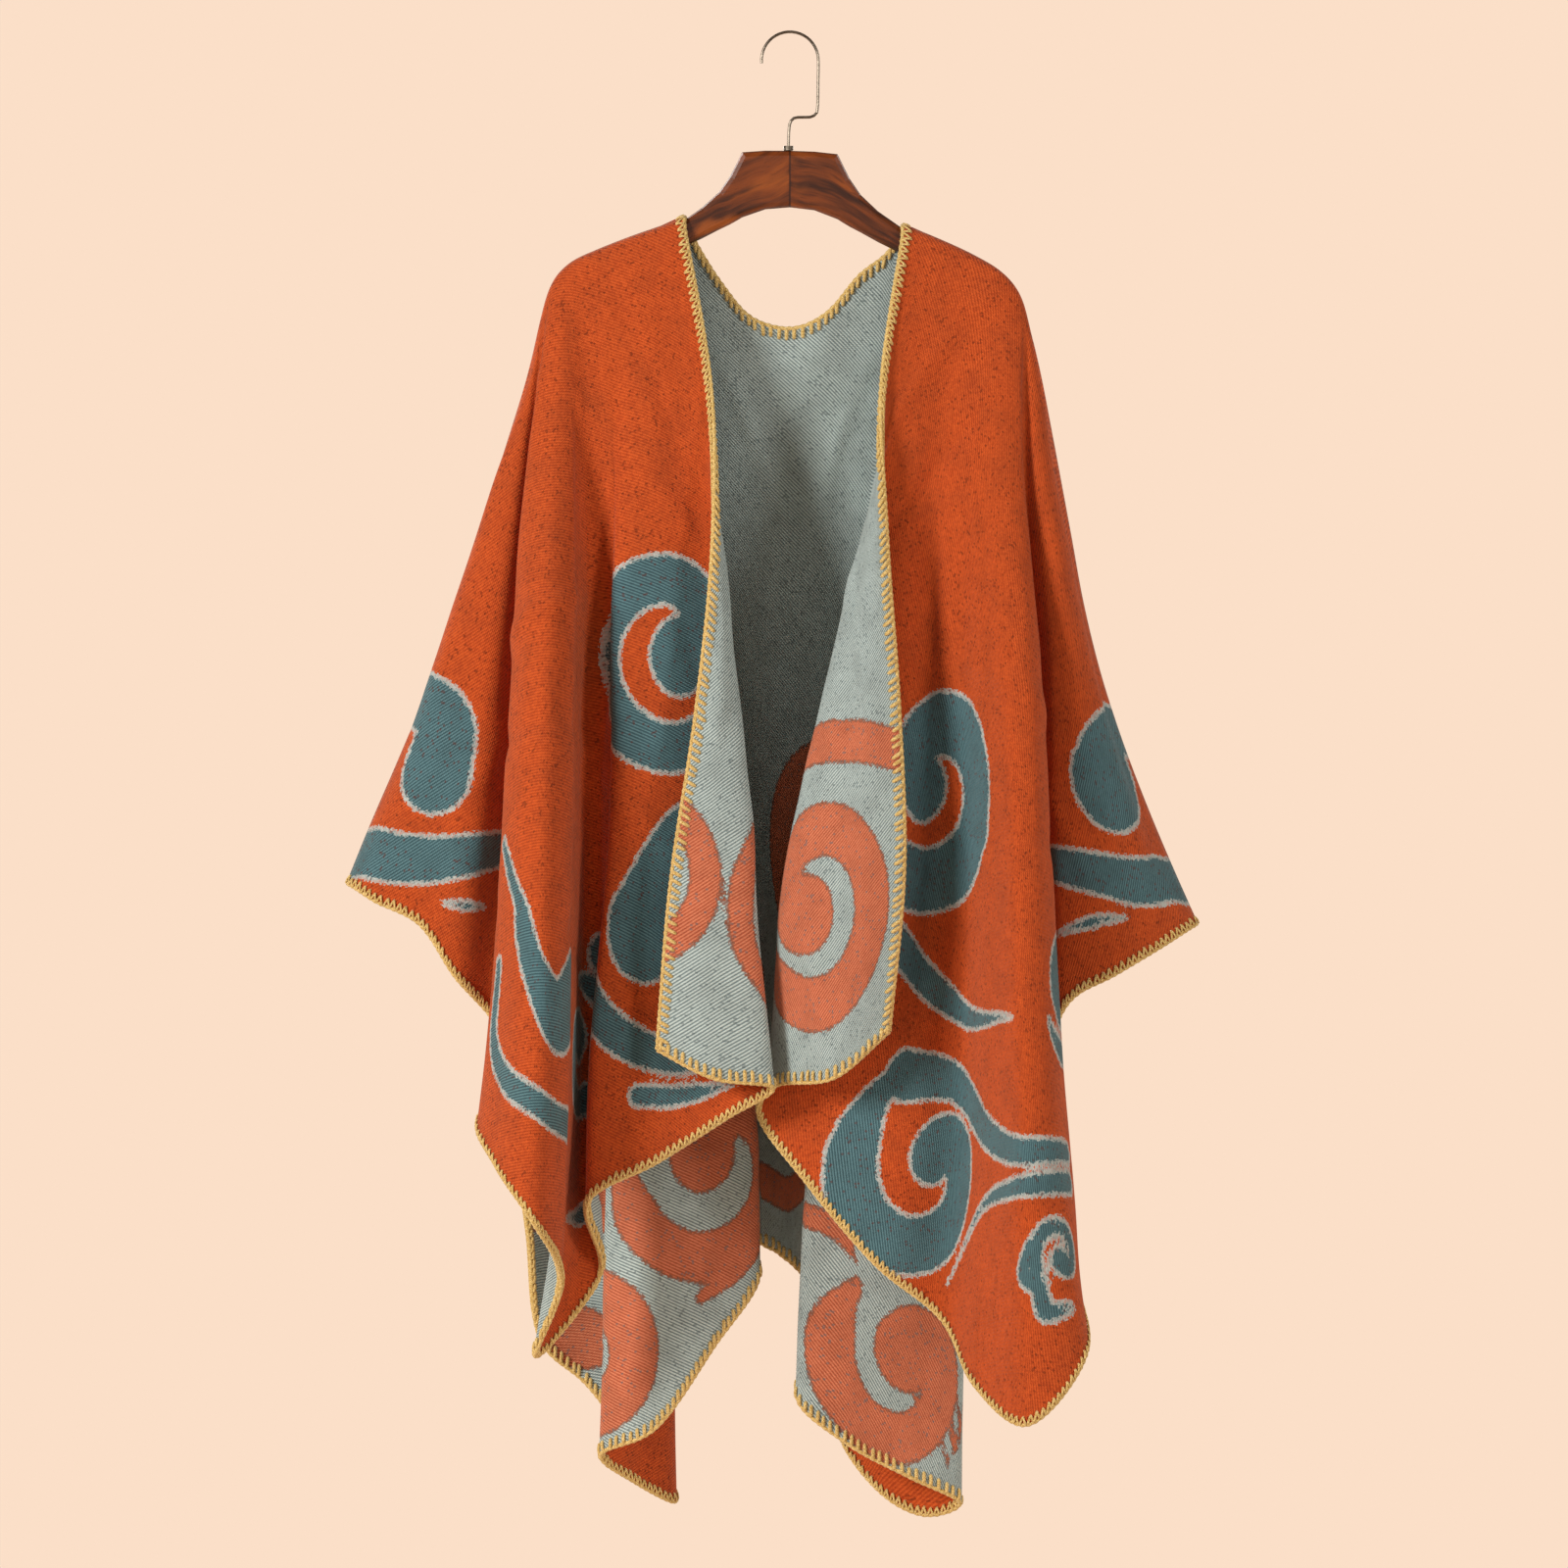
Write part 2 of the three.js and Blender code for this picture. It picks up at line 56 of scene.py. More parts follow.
# Columns: fold, seam, then x and y at 20, 40, 60 and 80 percent of the drop, then the foot's x, y, z
FRONT_LEFT = [
    ("slit edge", 0, -65, -30, -63, -57, -76, -71, -96, -86, -107, -90, -827),
    ("lapel face", 8, -71, -28, -56, -55, -56, -74, -62, -90, -61, -95, -850),
    ("lapel fold", 16, -79, -27, -52, -44, -38, -61, -28, -77, -13, -84, -858),
    ("lapel back", 28, -90, -26, -64, -34, -58, -46, -60, -60, -50, -70, -882),
    ("front face", 46, -114, -30, -106, -45, -108, -57, -112, -67, -107, -76, -918),
    ("groove brink", 68, -144, -31, -146, -49, -150, -62, -158, -72, -163, -76, -950),
    ("groove floor", 82, -155, -26, -154, -33, -155, -35, -159, -37, -153, -40, -1008),
    ("column inner wall", 92, -165, -28, -167, -36, -169, -38, -171, -40, -172, -44, -1040),
    ("column wall", 99, -174, -38, -176, -64, -177, -84, -181, -96, -205, -66, -1076),
    ("column brink", 105, -177, -43, -176, -84, -177, -112, -179, -128, -184, -98, -1014),
    ("column crest", 112, -190, -48, -195, -100, -197, -134, -201, -152, -206, -150, -962),
    ("column side", 119, -203, -43, -212, -88, -218, -118, -224, -132, -236, -128, -919),
    ("column edge", 127, -212, -34, -222, -64, -229, -84, -237, -92, -250, -92, -886),
    ("column back", 137, -203, -25, -198, -33, -194, -38, -194, -41, -208, -50, -848),
    ("wing root", 150, -211, -19, -217, -20, -223, -20, -230, -22, -242, -26, -803),
    ("wing curl", 164, -219, -25, -231, -36, -243, -43, -256, -46, -270, -42, -771),
    ("wing face", 182, -229, -22, -248, -32, -266, -37, -284, -38, -301, -36, -726),
    ("wing shoulder", 204, -240, -16, -265, -21, -290, -24, -313, -25, -337, -25, -708),
    ("wing roll", 216, -243, -9, -270, -10, -296, -11, -324, -12, -353, -12, -698)]
FRONT_RIGHT = [
    ("slit edge", 0, 75, -34, 79, -54, 88, -73, 92, -89, 80, -93, -812),
    ("lapel face", 9, 79, -31, 65, -55, 54, -78, 42, -94, 36, -98, -849),
    ("lapel fold", 18, 85, -28, 51, -44, 18, -58, -8, -63, -13, -57, -858),
    ("lapel back", 32, 97, -25, 66, -34, 42, -42, 14, -46, -26, -44, -878),
    ("lapel root", 50, 112, -27, 90, -37, 76, -46, 58, -50, 13, -50, -935),
    ("valley face", 66, 127, -30, 116, -43, 109, -53, 100, -58, 71, -60, -1003),
    ("valley floor", 80, 143, -32, 141, -45, 141, -53, 138, -57, 122, -64, -1045),
    ("column flank", 91, 158, -38, 161, -66, 163, -87, 161, -99, 150, -102, -1098),
    ("column crest", 99, 171, -43, 180, -86, 184, -118, 187, -137, 190, -144, -1125),
    ("column side", 106, 182, -40, 196, -80, 203, -108, 212, -126, 235, -128, -1075),
    ("column edge", 113, 190, -33, 204, -61, 212, -80, 221, -90, 233, -90, -1030),
    ("column back", 121, 186, -25, 186, -36, 185, -40, 186, -44, 196, -52, -950),
    ("wing root", 131, 192, -18, 199, -20, 203, -22, 205, -23, 205, -26, -862),
    ("wing valley", 144, 200, -23, 211, -32, 217, -37, 222, -38, 226, -37, -790),
    ("wing face", 160, 208, -23, 222, -34, 236, -40, 250, -42, 264, -40, -767),
    ("wing shoulder", 182, 217, -16, 234, -22, 256, -25, 280, -26, 305, -25, -743),
    ("wing roll", 198, 219, -9, 236, -10, 257, -11, 287, -12, 323, -12, -732)]
BACK_LEFT = [
    ("wing roll", 216, -243, 9, -270, 10, -296, 11, -324, 12, -352, 12, -697),
    ("wing back", 202, -239, 20, -262, 32, -286, 40, -309, 46, -332, 46, -702),
    ("wing crest", 188, -231, 30, -250, 64, -268, 98, -284, 122, -298, 128, -720),
    ("wing flank", 176, -224, 27, -237, 50, -246, 70, -252, 82, -258, 84, -744),
    ("wing valley", 162, -215, 19, -222, 25, -228, 26, -235, 26, -245, 28, -790),
    ("side rise", 150, -209, 26, -212, 50, -215, 70, -220, 82, -229, 82, -880),
    ("side crest", 140, -202, 36, -203, 78, -205, 114, -209, 134, -217, 118, -985),
    ("back column left", 131, -195, 40, -191, 92, -189, 135, -191, 158, -206, 130, -1077),
    ("back column face", 123, -186, 40, -176, 93, -169, 138, -165, 163, -169, 138, -1112),
    ("back column side", 115, -177, 38, -158, 84, -142, 124, -130, 146, -126, 126, -1168),
    ("back column edge", 107, -168, 33, -141, 66, -117, 94, -99, 108, -94, 92, -1206),
    ("back pleat", 98, -161, 26, -142, 42, -134, 54, -132, 60, -130, 60, -1186),
    ("tail left edge", 88, -153, 22, -149, 24, -149, 28, -150, 30, -156, 32, -1163),
    ("tail left face", 77, -142, 20, -128, 14, -117, 10, -111, 8, -112, 8, -1141),
    ("tail left side", 62, -126, 20, -104, 14, -82, 9, -68, 7, -62, 8, -1072),
    ("tail right edge", 48, -112, 20, -80, 18, -50, 16, -31, 15, -25, 16, -1013),
    ("inner pleat", 36, -101, 25, -82, 37, -74, 50, -76, 60, -78, 64, -1000),
    ("centre flank", 20, -88, 29, -59, 49, -43, 69, -35, 82, -32, 86, -991),
    ("neck top", 0, -76, 30, -54, 52, -39, 74, -31, 88, -27, 92, -992)]
BACK_RIGHT = [
    ("wing roll", 198, 219, 9, 236, 10, 257, 11, 287, 12, 322, 12, -731),
    ("wing back", 186, 216, 20, 233, 32, 254, 40, 277, 46, 301, 46, -739),
    ("wing crest", 172, 211, 30, 226, 64, 242, 96, 258, 118, 271, 122, -750),
    ("wing flank", 160, 206, 27, 216, 50, 225, 68, 233, 80, 240, 82, -766),
    ("wing valley", 148, 199, 19, 204, 25, 208, 26, 211, 26, 212, 28, -800),
    ("side rise", 137, 194, 26, 196, 50, 199, 70, 202, 82, 206, 84, -850),
    ("side crest", 128, 188, 36, 187, 78, 188, 114, 188, 136, 184, 136, -900),
    ("back column right", 119, 180, 40, 172, 92, 165, 136, 158, 162, 146, 160, -955),
    ("back column face", 110, 172, 40, 156, 91, 140, 134, 126, 158, 108, 154, -1010),
    ("back column side", 101, 162, 38, 137, 80, 112, 114, 90, 132, 70, 126, -1065),
    ("back column edge", 92, 152, 31, 119, 60, 84, 80, 56, 90, 38, 82, -1138),
    ("back pleat", 83, 144, 25, 122, 38, 102, 48, 86, 54, 76, 50, -1196),
    ("tail underside", 74, 138, 22, 130, 29, 124, 36, 118, 42, 112, 40, -1213),
    ("tail right edge", 68, 135, 20, 137, 22, 140, 24, 142, 26, 140, 24, -1202),
    ("tail right face", 59, 124, 19, 110, 14, 103, 10, 100, 8, 98, 8, -1179),
    ("tail left face", 50, 113, 19, 84, 14, 64, 10, 50, 8, 46, 8, -1151),
    ("tail left edge", 40, 104, 20, 66, 18, 36, 16, 14, 15, 5, 16, -1113),
    ("inner pleat", 30, 98, 25, 78, 38, 65, 50, 62, 60, 60, 64, -1068),
    ("centre flank", 18, 90, 29, 60, 49, 43, 69, 34, 82, 28, 86, -1030),
    ("neck top", 0, 79, 30, 56, 52, 39, 74, 29, 88, 23, 92, -1027)]
# Columns: fold, the top's x, y, z, then the same as above
BACK_NECK = [
    ("neck corner left", -85.8, 9.6, -153.8, -69, 32, -49, 55, -35, 77, -27, 91, -23, 95, -993),
    ("neck left", -74, 12, -176, -58, 34, -41, 57, -29, 79, -22, 93, -18, 97, -996),
    ("neck left side", -56, 15, -204, -43, 36, -31, 60, -21, 82, -15, 97, -12, 102, -999),
    ("neck left floor", -31, 19, -232, -24, 38, -18, 63, -12, 86, -8, 101, -5, 107, -1005),
    ("neck middle", 3, 21, -240, 3, 39, 3, 64, 2, 88, 2, 103, 2, 109, -1010),
    ("neck right floor", 30, 19, -228, 26, 38, 20, 63, 14, 86, 9, 101, 7, 107, -1015),
    ("neck right side", 58, 15, -196, 46, 36, 33, 60, 23, 82, 16, 97, 12, 102, -1020),
    ("neck right", 79, 12, -180, 61, 34, 43, 57, 29, 79, 20, 93, 15, 97, -1022),
    ("neck corner right", 91, 9.6, -161.5, 73, 32, 51, 55, 34, 77, 24, 91, 18, 95, -1024)]
SHOULDER_ROUND = (6.5, 2.2)     # depth and drop of the two bends over the bar
SHOULDER_BROW = (9.5, 8.0)
NECK_FLARE = 1.5                # lean of the back's bends beside the neck, for each millimetre of drop
NECK_REACH = 16.0               # and how far along the shoulder line it fades
DROP_STEP = 0.2                 # share of the drop from one place in a table's row to the next
ROLL_LEFT = 220                 # where the two wings' rolls start along the shoulder line
ROLL_RIGHT = 202
ROLL_POINTS = 9
LINE_STEPS = 40                 # steps of a smooth line between two of its points
SAME = 1e-4                     # shorter steps than this count as none


# Curves
def spline(points, u):
    """Centripetal spline through points (first axis) at the places u, in steps of one point."""
    points = np.asarray(points, float)
    u = np.asarray(u, float)
    k = np.clip(np.floor(u).astype(int), 0, len(points) - 2)
    f = (u - k).reshape((-1,) + (1,) * (points.ndim - 1))
    ends = [[2 * points[0] - points[1]], points, [2 * points[-1] - points[-2]]]
    every = np.concatenate(ends)
    p0, p1, p2, p3 = (every[k + i] for i in range(4))
    d0, d1, d2 = (np.linalg.norm(b - a, axis=-1, keepdims=True) ** 0.5
                  for a, b in ((p0, p1), (p1, p2), (p2, p3)))
    d1 = np.where(d1 < SAME, 1, d1)
    d0 = np.where(d0 < SAME, d1, d0)
    d2 = np.where(d2 < SAME, d1, d2)
    t1 = ((p1 - p0) / d0 - (p2 - p0) / (d0 + d1) + (p2 - p1) / d1) * d1
    t2 = ((p2 - p1) / d1 - (p3 - p1) / (d1 + d2) + (p3 - p2) / d2) * d1
    return p1 + t1 * f + (3 * (p2 - p1) - 2 * t1 - t2) * f ** 2 + (2 * (p1 - p2) + t1 + t2) * f ** 3


def unit(vectors):
    return vectors / np.maximum(np.linalg.norm(vectors, axis=-1, keepdims=True), 1e-9)


class Line:
    """A smooth line through points, with places on it by distance from its start."""

    def __init__(self, points):
        last = len(points) - 1
        self.dense = spline(points, np.linspace(0, last, last * LINE_STEPS + 1))
        steps = np.linalg.norm(np.diff(self.dense, axis=0), axis=1)
        self.along = np.concatenate([[0], np.cumsum(steps)])
        self.length = self.along[-1]

    def at(self, distance):
        distance = np.clip(distance, 0, self.length)
        return np.stack([np.interp(distance, self.along, self.dense[:, a]) for a in range(3)], axis=-1)


def shoulder(seam):
    return Line([(x, 0, z) for x, z in seam])


def fold_line(top, row, side, seam=None):
    """A fold line from its top over the bar, if seam is its place on the shoulder line, and down the row."""
    points = [top]
    if seam is not None:
        flare = np.sign(top[0]) * max(0, NECK_FLARE * (1 - seam / NECK_REACH)) if side > 0 else 0
        for depth, drop in (SHOULDER_ROUND, SHOULDER_BROW):
            points.append((top[0] + flare * drop, side * depth, top[2] - drop))
    places, foot = row[:8], row[8:]
    for i in range(4):
        share = DROP_STEP * (i + 1)
        points.append((places[2 * i], places[2 * i + 1], top[2] + (foot[2] - top[2]) * share))
    points.append(foot)
    return Line(points)


def shoulder_lines(rows, seam, side):
    """The fold lines of one table, each with its start on the flat cloth."""
    crest = shoulder(seam)
    made = []
    for row in rows:
        x, _, z = crest.at(row[1])
        start = np.sign(x) * (NECK_HALF + row[1])
        made.append((fold_line((x, side * SEAM_GAP, z), row[2:], side, row[1]), (start, 0.0)))
    return made


def ridge(seam, start, side):
    """The shoulder line beyond the last fold line, as the edge where a wing's front and back meet."""
    crest = shoulder(seam)
    points = crest.at(np.linspace(start, crest.length, ROLL_POINTS))
    points[:, 1] = side * SEAM_GAP
    return Line(points), (np.sign(points[0, 0]) * (NECK_HALF + start), 0.0)


def neck_lines():
    """The fold lines from the neck's edge, which on the flat cloth lies below the shoulder line."""
    made = []
    ends_x, ends_z = zip(SEAM_LEFT[0], SEAM_RIGHT[0])
    for row in BACK_NECK:
        top = row[1:4]
        crest_z = np.interp(top[0], ends_x, ends_z)
        made.append((fold_line(top, row[4:], 1), (top[0], crest_z - top[2])))
    return made


# The cloth as a fine grid, with each point's place on the flat cloth
REFERENCE_DROP = 420.0          # how far down the distance between two fold lines is measured
REFERENCE_SHARE = 0.9           # but no further than this share of the shorter one
WIDE = 75                       # the strip between two is divided for this percentile of its widths


def line_angles(lines, centre):
    """The direction of each fold line on the flat cloth: 0 is straight down, and the ridges lie level."""
    spread = [0.0]
    for (a, flat_a), (b, flat_b) in zip(lines, lines[1:]):
        reach = min(REFERENCE_DROP, a.length * REFERENCE_SHARE, b.length * REFERENCE_SHARE)
        wide = np.linalg.norm(a.at(reach) - b.at(reach))
        spread.append(spread[-1] + max(0, wide - math.dist(flat_a, flat_b)) / reach)
    spread = np.array(spread) - spread[centre]
    for side in (slice(None, centre), slice(centre + 1, None)):
        if len(spread[side]):
            end = spread[side][0] if side.start is None else spread[side][-1]
            spread[side] *= math.radians(90) / abs(end)
    return spread


def cloth_grid(lines, centre):
    """Points (rows, columns, 3) and flat places (rows, columns, 2) of the cloth along its fold lines.

    centre is the number of the line that hangs straight down: the slit's edge, 0, or the back's middle.
    """
    longest = max(line.length for line, _ in lines)
    cell = BACK_CELL if centre else FRONT_CELL
    head = np.arange(0, HEAD, HEAD_STEP)
    body = np.linspace(0, 1, int((longest - HEAD) / cell))
    angles = line_angles(lines, centre)
    if lines[0][1][0] > lines[-1][1][0]:
        angles = -angles
    points, flats = [], []
    for (line, start), angle in zip(lines, angles):
        distance = np.concatenate([head, HEAD + (line.length - HEAD) * body])
        points.append(line.at(distance))
        flats.append(np.stack([start[0] + distance * np.sin(angle), start[1] + distance * np.cos(angle)], -1))
    points, flats = np.array(points), np.array(flats)
    wide = np.percentile(np.linalg.norm(np.diff(points, axis=0), axis=2), WIDE, axis=1)
    places = [0.0]
    for k, width in enumerate(wide):
        steps = max(2, round(width / cell))
        places.extend(k + (i + 1) / steps for i in range(steps))
    grid = spline(points, places).swapaxes(0, 1)
    flat = spline(flats, places).swapaxes(0, 1)
    return grid, flat


def normals_of(grid, outward):
    along = np.gradient(grid, axis=1)
    down = np.gradient(grid, axis=0)
    return unit(np.cross(along, down) * outward)


# Creases, on the flat cloth, where X runs along the shoulder line and t down from it
# Columns: panel, X and t of the middle, degrees from straight down, half length, half width, height
# The first four are the deep valleys of the two fronts.
CREASES = [
    ("front_left", -266, 230, -33, 160, 15, -8.0), ("front_left", -366, 480, -27, 210, 17, -11.0),
    ("front_right", 258, 190, 38, 140, 26, -10.0), ("front_right", 362, 390, 24, 190, 34, -16.0),
    ("front_left", -150, 120, 12, 110, 9, -2.0), ("front_left", -215, 180, 28, 150, 10, 2.4),
    ("front_left", -130, 330, 4, 170, 13, 2.2), ("front_left", -172, 470, 8, 160, 11, -2.2),
    ("front_left", -118, 560, -6, 120, 12, 1.8), ("front_left", -400, 200, 62, 130, 12, 2.6),
    ("front_left", -470, 260, 55, 120, 9, -2.2), ("front_left", -560, 120, 78, 110, 10, 2.0),
    ("front_left", -300, 420, 36, 120, 10, 2.0), ("front_left", -520, 420, 44, 120, 12, -2.4),
    ("front_right", 150, 130, -10, 120, 10, 2.0), ("front_right", 205, 210, -24, 150, 9, -2.2),
    ("front_right", 160, 380, -6, 170, 12, 2.4), ("front_right", 210, 560, -12, 150, 11, -2.0),
    ("front_right", 420, 230, -60, 130, 12, 2.4), ("front_right", 500, 330, -52, 120, 10, -2.0),
    ("front_right", 330, 470, -34, 120, 12, 2.0), ("front_right", 580, 150, -76, 110, 9, 2.0),
    ("back", -40, 190, 18, 80, 8, -1.8), ("back", 52, 200, -20, 80, 8, -1.8),
    ("back", 6, 330, 2, 150, 16, 2.2), ("back", -110, 300, 10, 160, 12, 2.4),
    ("back", 120, 320, -10, 160, 12, -2.4),
    ("back", -220, 420, 26, 170, 14, 2.8), ("back", 230, 430, -26, 170, 12, 2.6),
    ("back", -360, 330, 48, 150, 11, -2.4), ("back", 370, 320, -48, 150, 12, 2.6),
    ("back", -480, 200, 66, 130, 10, 2.4), ("back", 480, 210, -66, 130, 11, -2.2),
    ("back", -150, 640, 10, 150, 14, 2.2), ("back", 160, 650, -10, 150, 12, 2.2),
    ("back", -330, 640, 30, 130, 12, -2.4), ("back", 340, 640, -30, 130, 13, 2.4),
    ("back", 0, 600, 0, 180, 20, -2.0)]
CREASE_SWAY = 14                # how far a crease sways from its straight line
SWAY_LENGTH = 95                # and over which length
SLOW_WAVES = 0.9                # heights of the waves all over the cloth
FINE_WAVES = 0.25
CREASE_FREE = 2.0               # no creases and waves this close to the plane of the shoulder line
CREASE_FADE = 12.0              # and full ones this much further


def crease_height(name, flat):
    """Height of the creases and waves at flat places, to be added along the normal."""
    x, t = flat[..., 0], flat[..., 1]
    height = np.zeros(flat.shape[:2])
    for panel, middle_x, middle_t, degrees, length, width, tall in CREASES:
        if panel != name:
            continue
        angle = math.radians(degrees)
        dx, dt = x - middle_x, t - middle_t
        sway = CREASE_SWAY * np.sin(dt / SWAY_LENGTH + middle_x)
        across = dx * math.cos(angle) - dt * math.sin(angle) + sway
        along = dx * math.sin(angle) + dt * math.cos(angle)
        height += tall * np.exp(-(across / width) ** 2 - np.abs(along / length) ** 3)
    slow = np.sin(x / 31 + 1.7 * np.sin(t / 83)) * np.sin(t / 118 + 0.6)
    fine = np.sin(x / 17 + t / 41) * np.sin(t / 29 - x / 53)
    return height + SLOW_WAVES * slow + FINE_WAVES * fine


# The pattern: traditional cloud scrolls as strokes of changing width on the flat cloth
STROKE_POINTS = {"scroll": 40, "ribbon": 34}
DRIFT = 0.1                     # share of the size by which a scroll's band closes in on its way
CURL = 0.78                     # and at its end
HEAD_FROM = 0.76                # share of the band's length after which it swells to the head
TIP = 0.35                      # share of its width that the band starts with
TIP_LENGTH = 0.12               # share of its length after which it is full


def scroll(x, t, size, start, turn, band, head, wind=6):
    """A cloud scroll. A band runs round the middle (angles in degrees) and curls into a round head."""
    share = np.linspace(0, 1, STROKE_POINTS["scroll"])
    angle = np.radians(start + turn * share)
    radius = size * (1 - DRIFT * share - CURL * share ** wind)
    swell = np.clip((share - HEAD_FROM) / (1 - HEAD_FROM), 0, 1) ** 1.5
    body = TIP + (1 - TIP) * np.clip(share / TIP_LENGTH, 0, 1)
    width = size * (band * body * (1 - swell) + head * swell)
    return np.stack([x + radius * np.cos(angle), t + radius * np.sin(angle)], -1), width


def ribbon(widths, *points):
    """A band through a few points, with its half widths spread evenly from start to end."""
    share = np.linspace(0, 1, STROKE_POINTS["ribbon"])
    line = spline(np.array(points, float), share * (len(points) - 1))
    return line, np.interp(share, np.linspace(0, 1, len(widths)), widths)


def mirrored(strokes):
    """Strokes that cross a shoulder ridge, as seen on the other panel."""
    return [(points * (1, -1), width) for points, width in strokes]


RIDGE_LEFT = [
    ribbon((3, 14, 22, 26, 33), (-650, -112), (-592, -76), (-571, -10), (-580, 48), (-622, 58)),
    ribbon((16, 22, 20, 14), (-680, -95), (-702, 0), (-692, 70), (-650, 155)),
    ribbon((1, 4, 1), (-717, 105), (-712, 125), (-703, 150))]
RIDGE_RIGHT = [
    ribbon((3, 14, 20, 24, 47), (645, -112), (590, -76), (565, -10), (572, 30), (600, 56)),
    ribbon((14, 20, 20, 14), (675, -95), (697, 0), (688, 65), (642, 155)),
    ribbon((1, 5, 1), (712, 90), (704, 125), (700, 168))]
# Scroll: X, t, size, start, turn, half width of the band and of the head as shares of the size,
# and, where it winds in sooner, how late it does. Ribbon: half widths, then points on its middle line.
MOTIFS = {
    "front_left": RIDGE_LEFT + [
        scroll(-217, 341, 77, 30, 345, 0.27, 0.44),
        ribbon((16, 18, 15, 12, 10, 10, 32, 47), (-394, 530), (-376, 592), (-318, 648), (-222, 664),
               (-150, 606), (-158, 512), (-232, 492), (-298, 545)),
        scroll(-52, 552, 66, 40, 320, 0.2, 0.4),
        ribbon((9, 9, 7, 1), (-352, 672), (-318, 684), (-268, 695), (-214, 701)),
        ribbon((5, 8, 16, 30, 34), (-562, 315), (-573, 372), (-594, 440), (-584, 490), (-530, 500)),
        ribbon((7, 11, 14), (-632, 384), (-676, 425), (-674, 485), (-640, 548), (-588, 594)),
        scroll(-455, 585, 52, -70, 330, 0.24, 0.4),
        scroll(-655, 275, 50, 120, 320, 0.26, 0.42),
        ribbon((2, 8, 1), (-545, 700), (-500, 716), (-440, 700))],
    "front_right": RIDGE_RIGHT + [
        scroll(378, 384, 74, 120, -300, 0.36, 0.40),
        ribbon((17, 17, 17, 15, 1), (86, 442), (160, 427), (240, 428), (330, 486), (410, 508), (520, 507),
               (618, 436)),
        ribbon((9, 12, 14, 16, 22), (752, 446), (690, 514), (620, 548), (540, 560), (486, 588)),
        scroll(564, 628, 94, -158, -340, 0.26, 0.27, 1.15),
        ribbon((1, 7, 10), (646, 686), (668, 590), (714, 534), (768, 466)),
        scroll(792, 530, 25, 80, 310, 0.3, 0.42),
        ribbon((8, 10, 8, 10, 4), (768, 546), (774, 570), (794, 564), (812, 572), (828, 552)),
        scroll(668, 342, 52, 100, -310, 0.2, 0.62),
        scroll(200, 562, 78, 5, 370, 0.28, 0.42)],
    "back": mirrored(RIDGE_LEFT) + mirrored(RIDGE_RIGHT) + [
        scroll(-318, 742, 78, 205, -300, 0.26, 0.40),
        ribbon((5, 8, 2), (-352, 845), (-318, 838), (-262, 824)),
        scroll(-470, 856, 48, -100, 330, 0.5, 0.32),
        ribbon((2, 26, 2), (-700, 730), (-668, 768), (-632, 812)),
        ribbon((15, 14, 15), (-90, 798), (-20, 806), (60, 790)),
        scroll(366, 884, 76, 215, -300, 0.28, 0.46, 2.6),
        ribbon((10, 9, 1), (250, 798), (276, 800), (300, 822)),
        ribbon((2, 6, 2), (438, 952), (448, 925), (452, 896)),
        scroll(66, 520, 86, 60, 320, 0.26, 0.42),
        scroll(-560, 330, 84, 60, 320, 0.28, 0.42),
        ribbon((14, 17, 1), (-640, 480), (-600, 470), (-540, 500), (-470, 560)),
        scroll(560, 330, 84, 120, -320, 0.28, 0.42),
        ribbon((14, 17, 1), (640, 490), (600, 476), (540, 505), (480, 570)),
        scroll(-575, 610, 78, 200, -340, 0.26, 0.42),
        scroll(585, 650, 76, -20, 340, 0.26, 0.42),
        scroll(-140, 600, 70, 20, 330, 0.26, 0.42),
        scroll(190, 660, 66, 160, -330, 0.26, 0.42),
        ribbon((2, 11, 2), (-400, 540), (-370, 580), (-352, 634)),
        ribbon((2, 11, 2), (430, 560), (392, 620), (384, 700))]}


FAR = 12.0                      # further from a motif than this, the distance doesn't matter


def motif_distance(name, flat):
    """Distance in millimetres from the edge of the nearest motif, negative inside it and at most FAR."""
    places = flat.reshape(-1, 2)
    distance = np.full(len(places), FAR)
    for points, width in MOTIFS[name]:
        reach = width.max() + FAR
        near = np.nonzero(((places > points.min(0) - reach) & (places < points.max(0) + reach)).all(1))[0]
        here, nearest = places[near], distance[near]
        for a, b, wa, wb in zip(points[:-1], points[1:], width[:-1], width[1:]):
            step = b - a
            share = np.clip(((here - a) @ step) / max(step @ step, 1e-9), 0, 1)
            gap = np.linalg.norm(here - a - share[:, None] * step, axis=-1) - (wa + (wb - wa) * share)
            nearest = np.minimum(nearest, gap)
        distance[near] = nearest
    return distance


# Materials
def colour(text):
    """A linear colour from its web form."""
    parts = [int(text[i:i + 2], 16) / 255 for i in (0, 2, 4)]
    return [p / 12.92 if p <= 0.04045 else ((p + 0.055) / 1.055) ** 2.4 for p in parts] + [1]


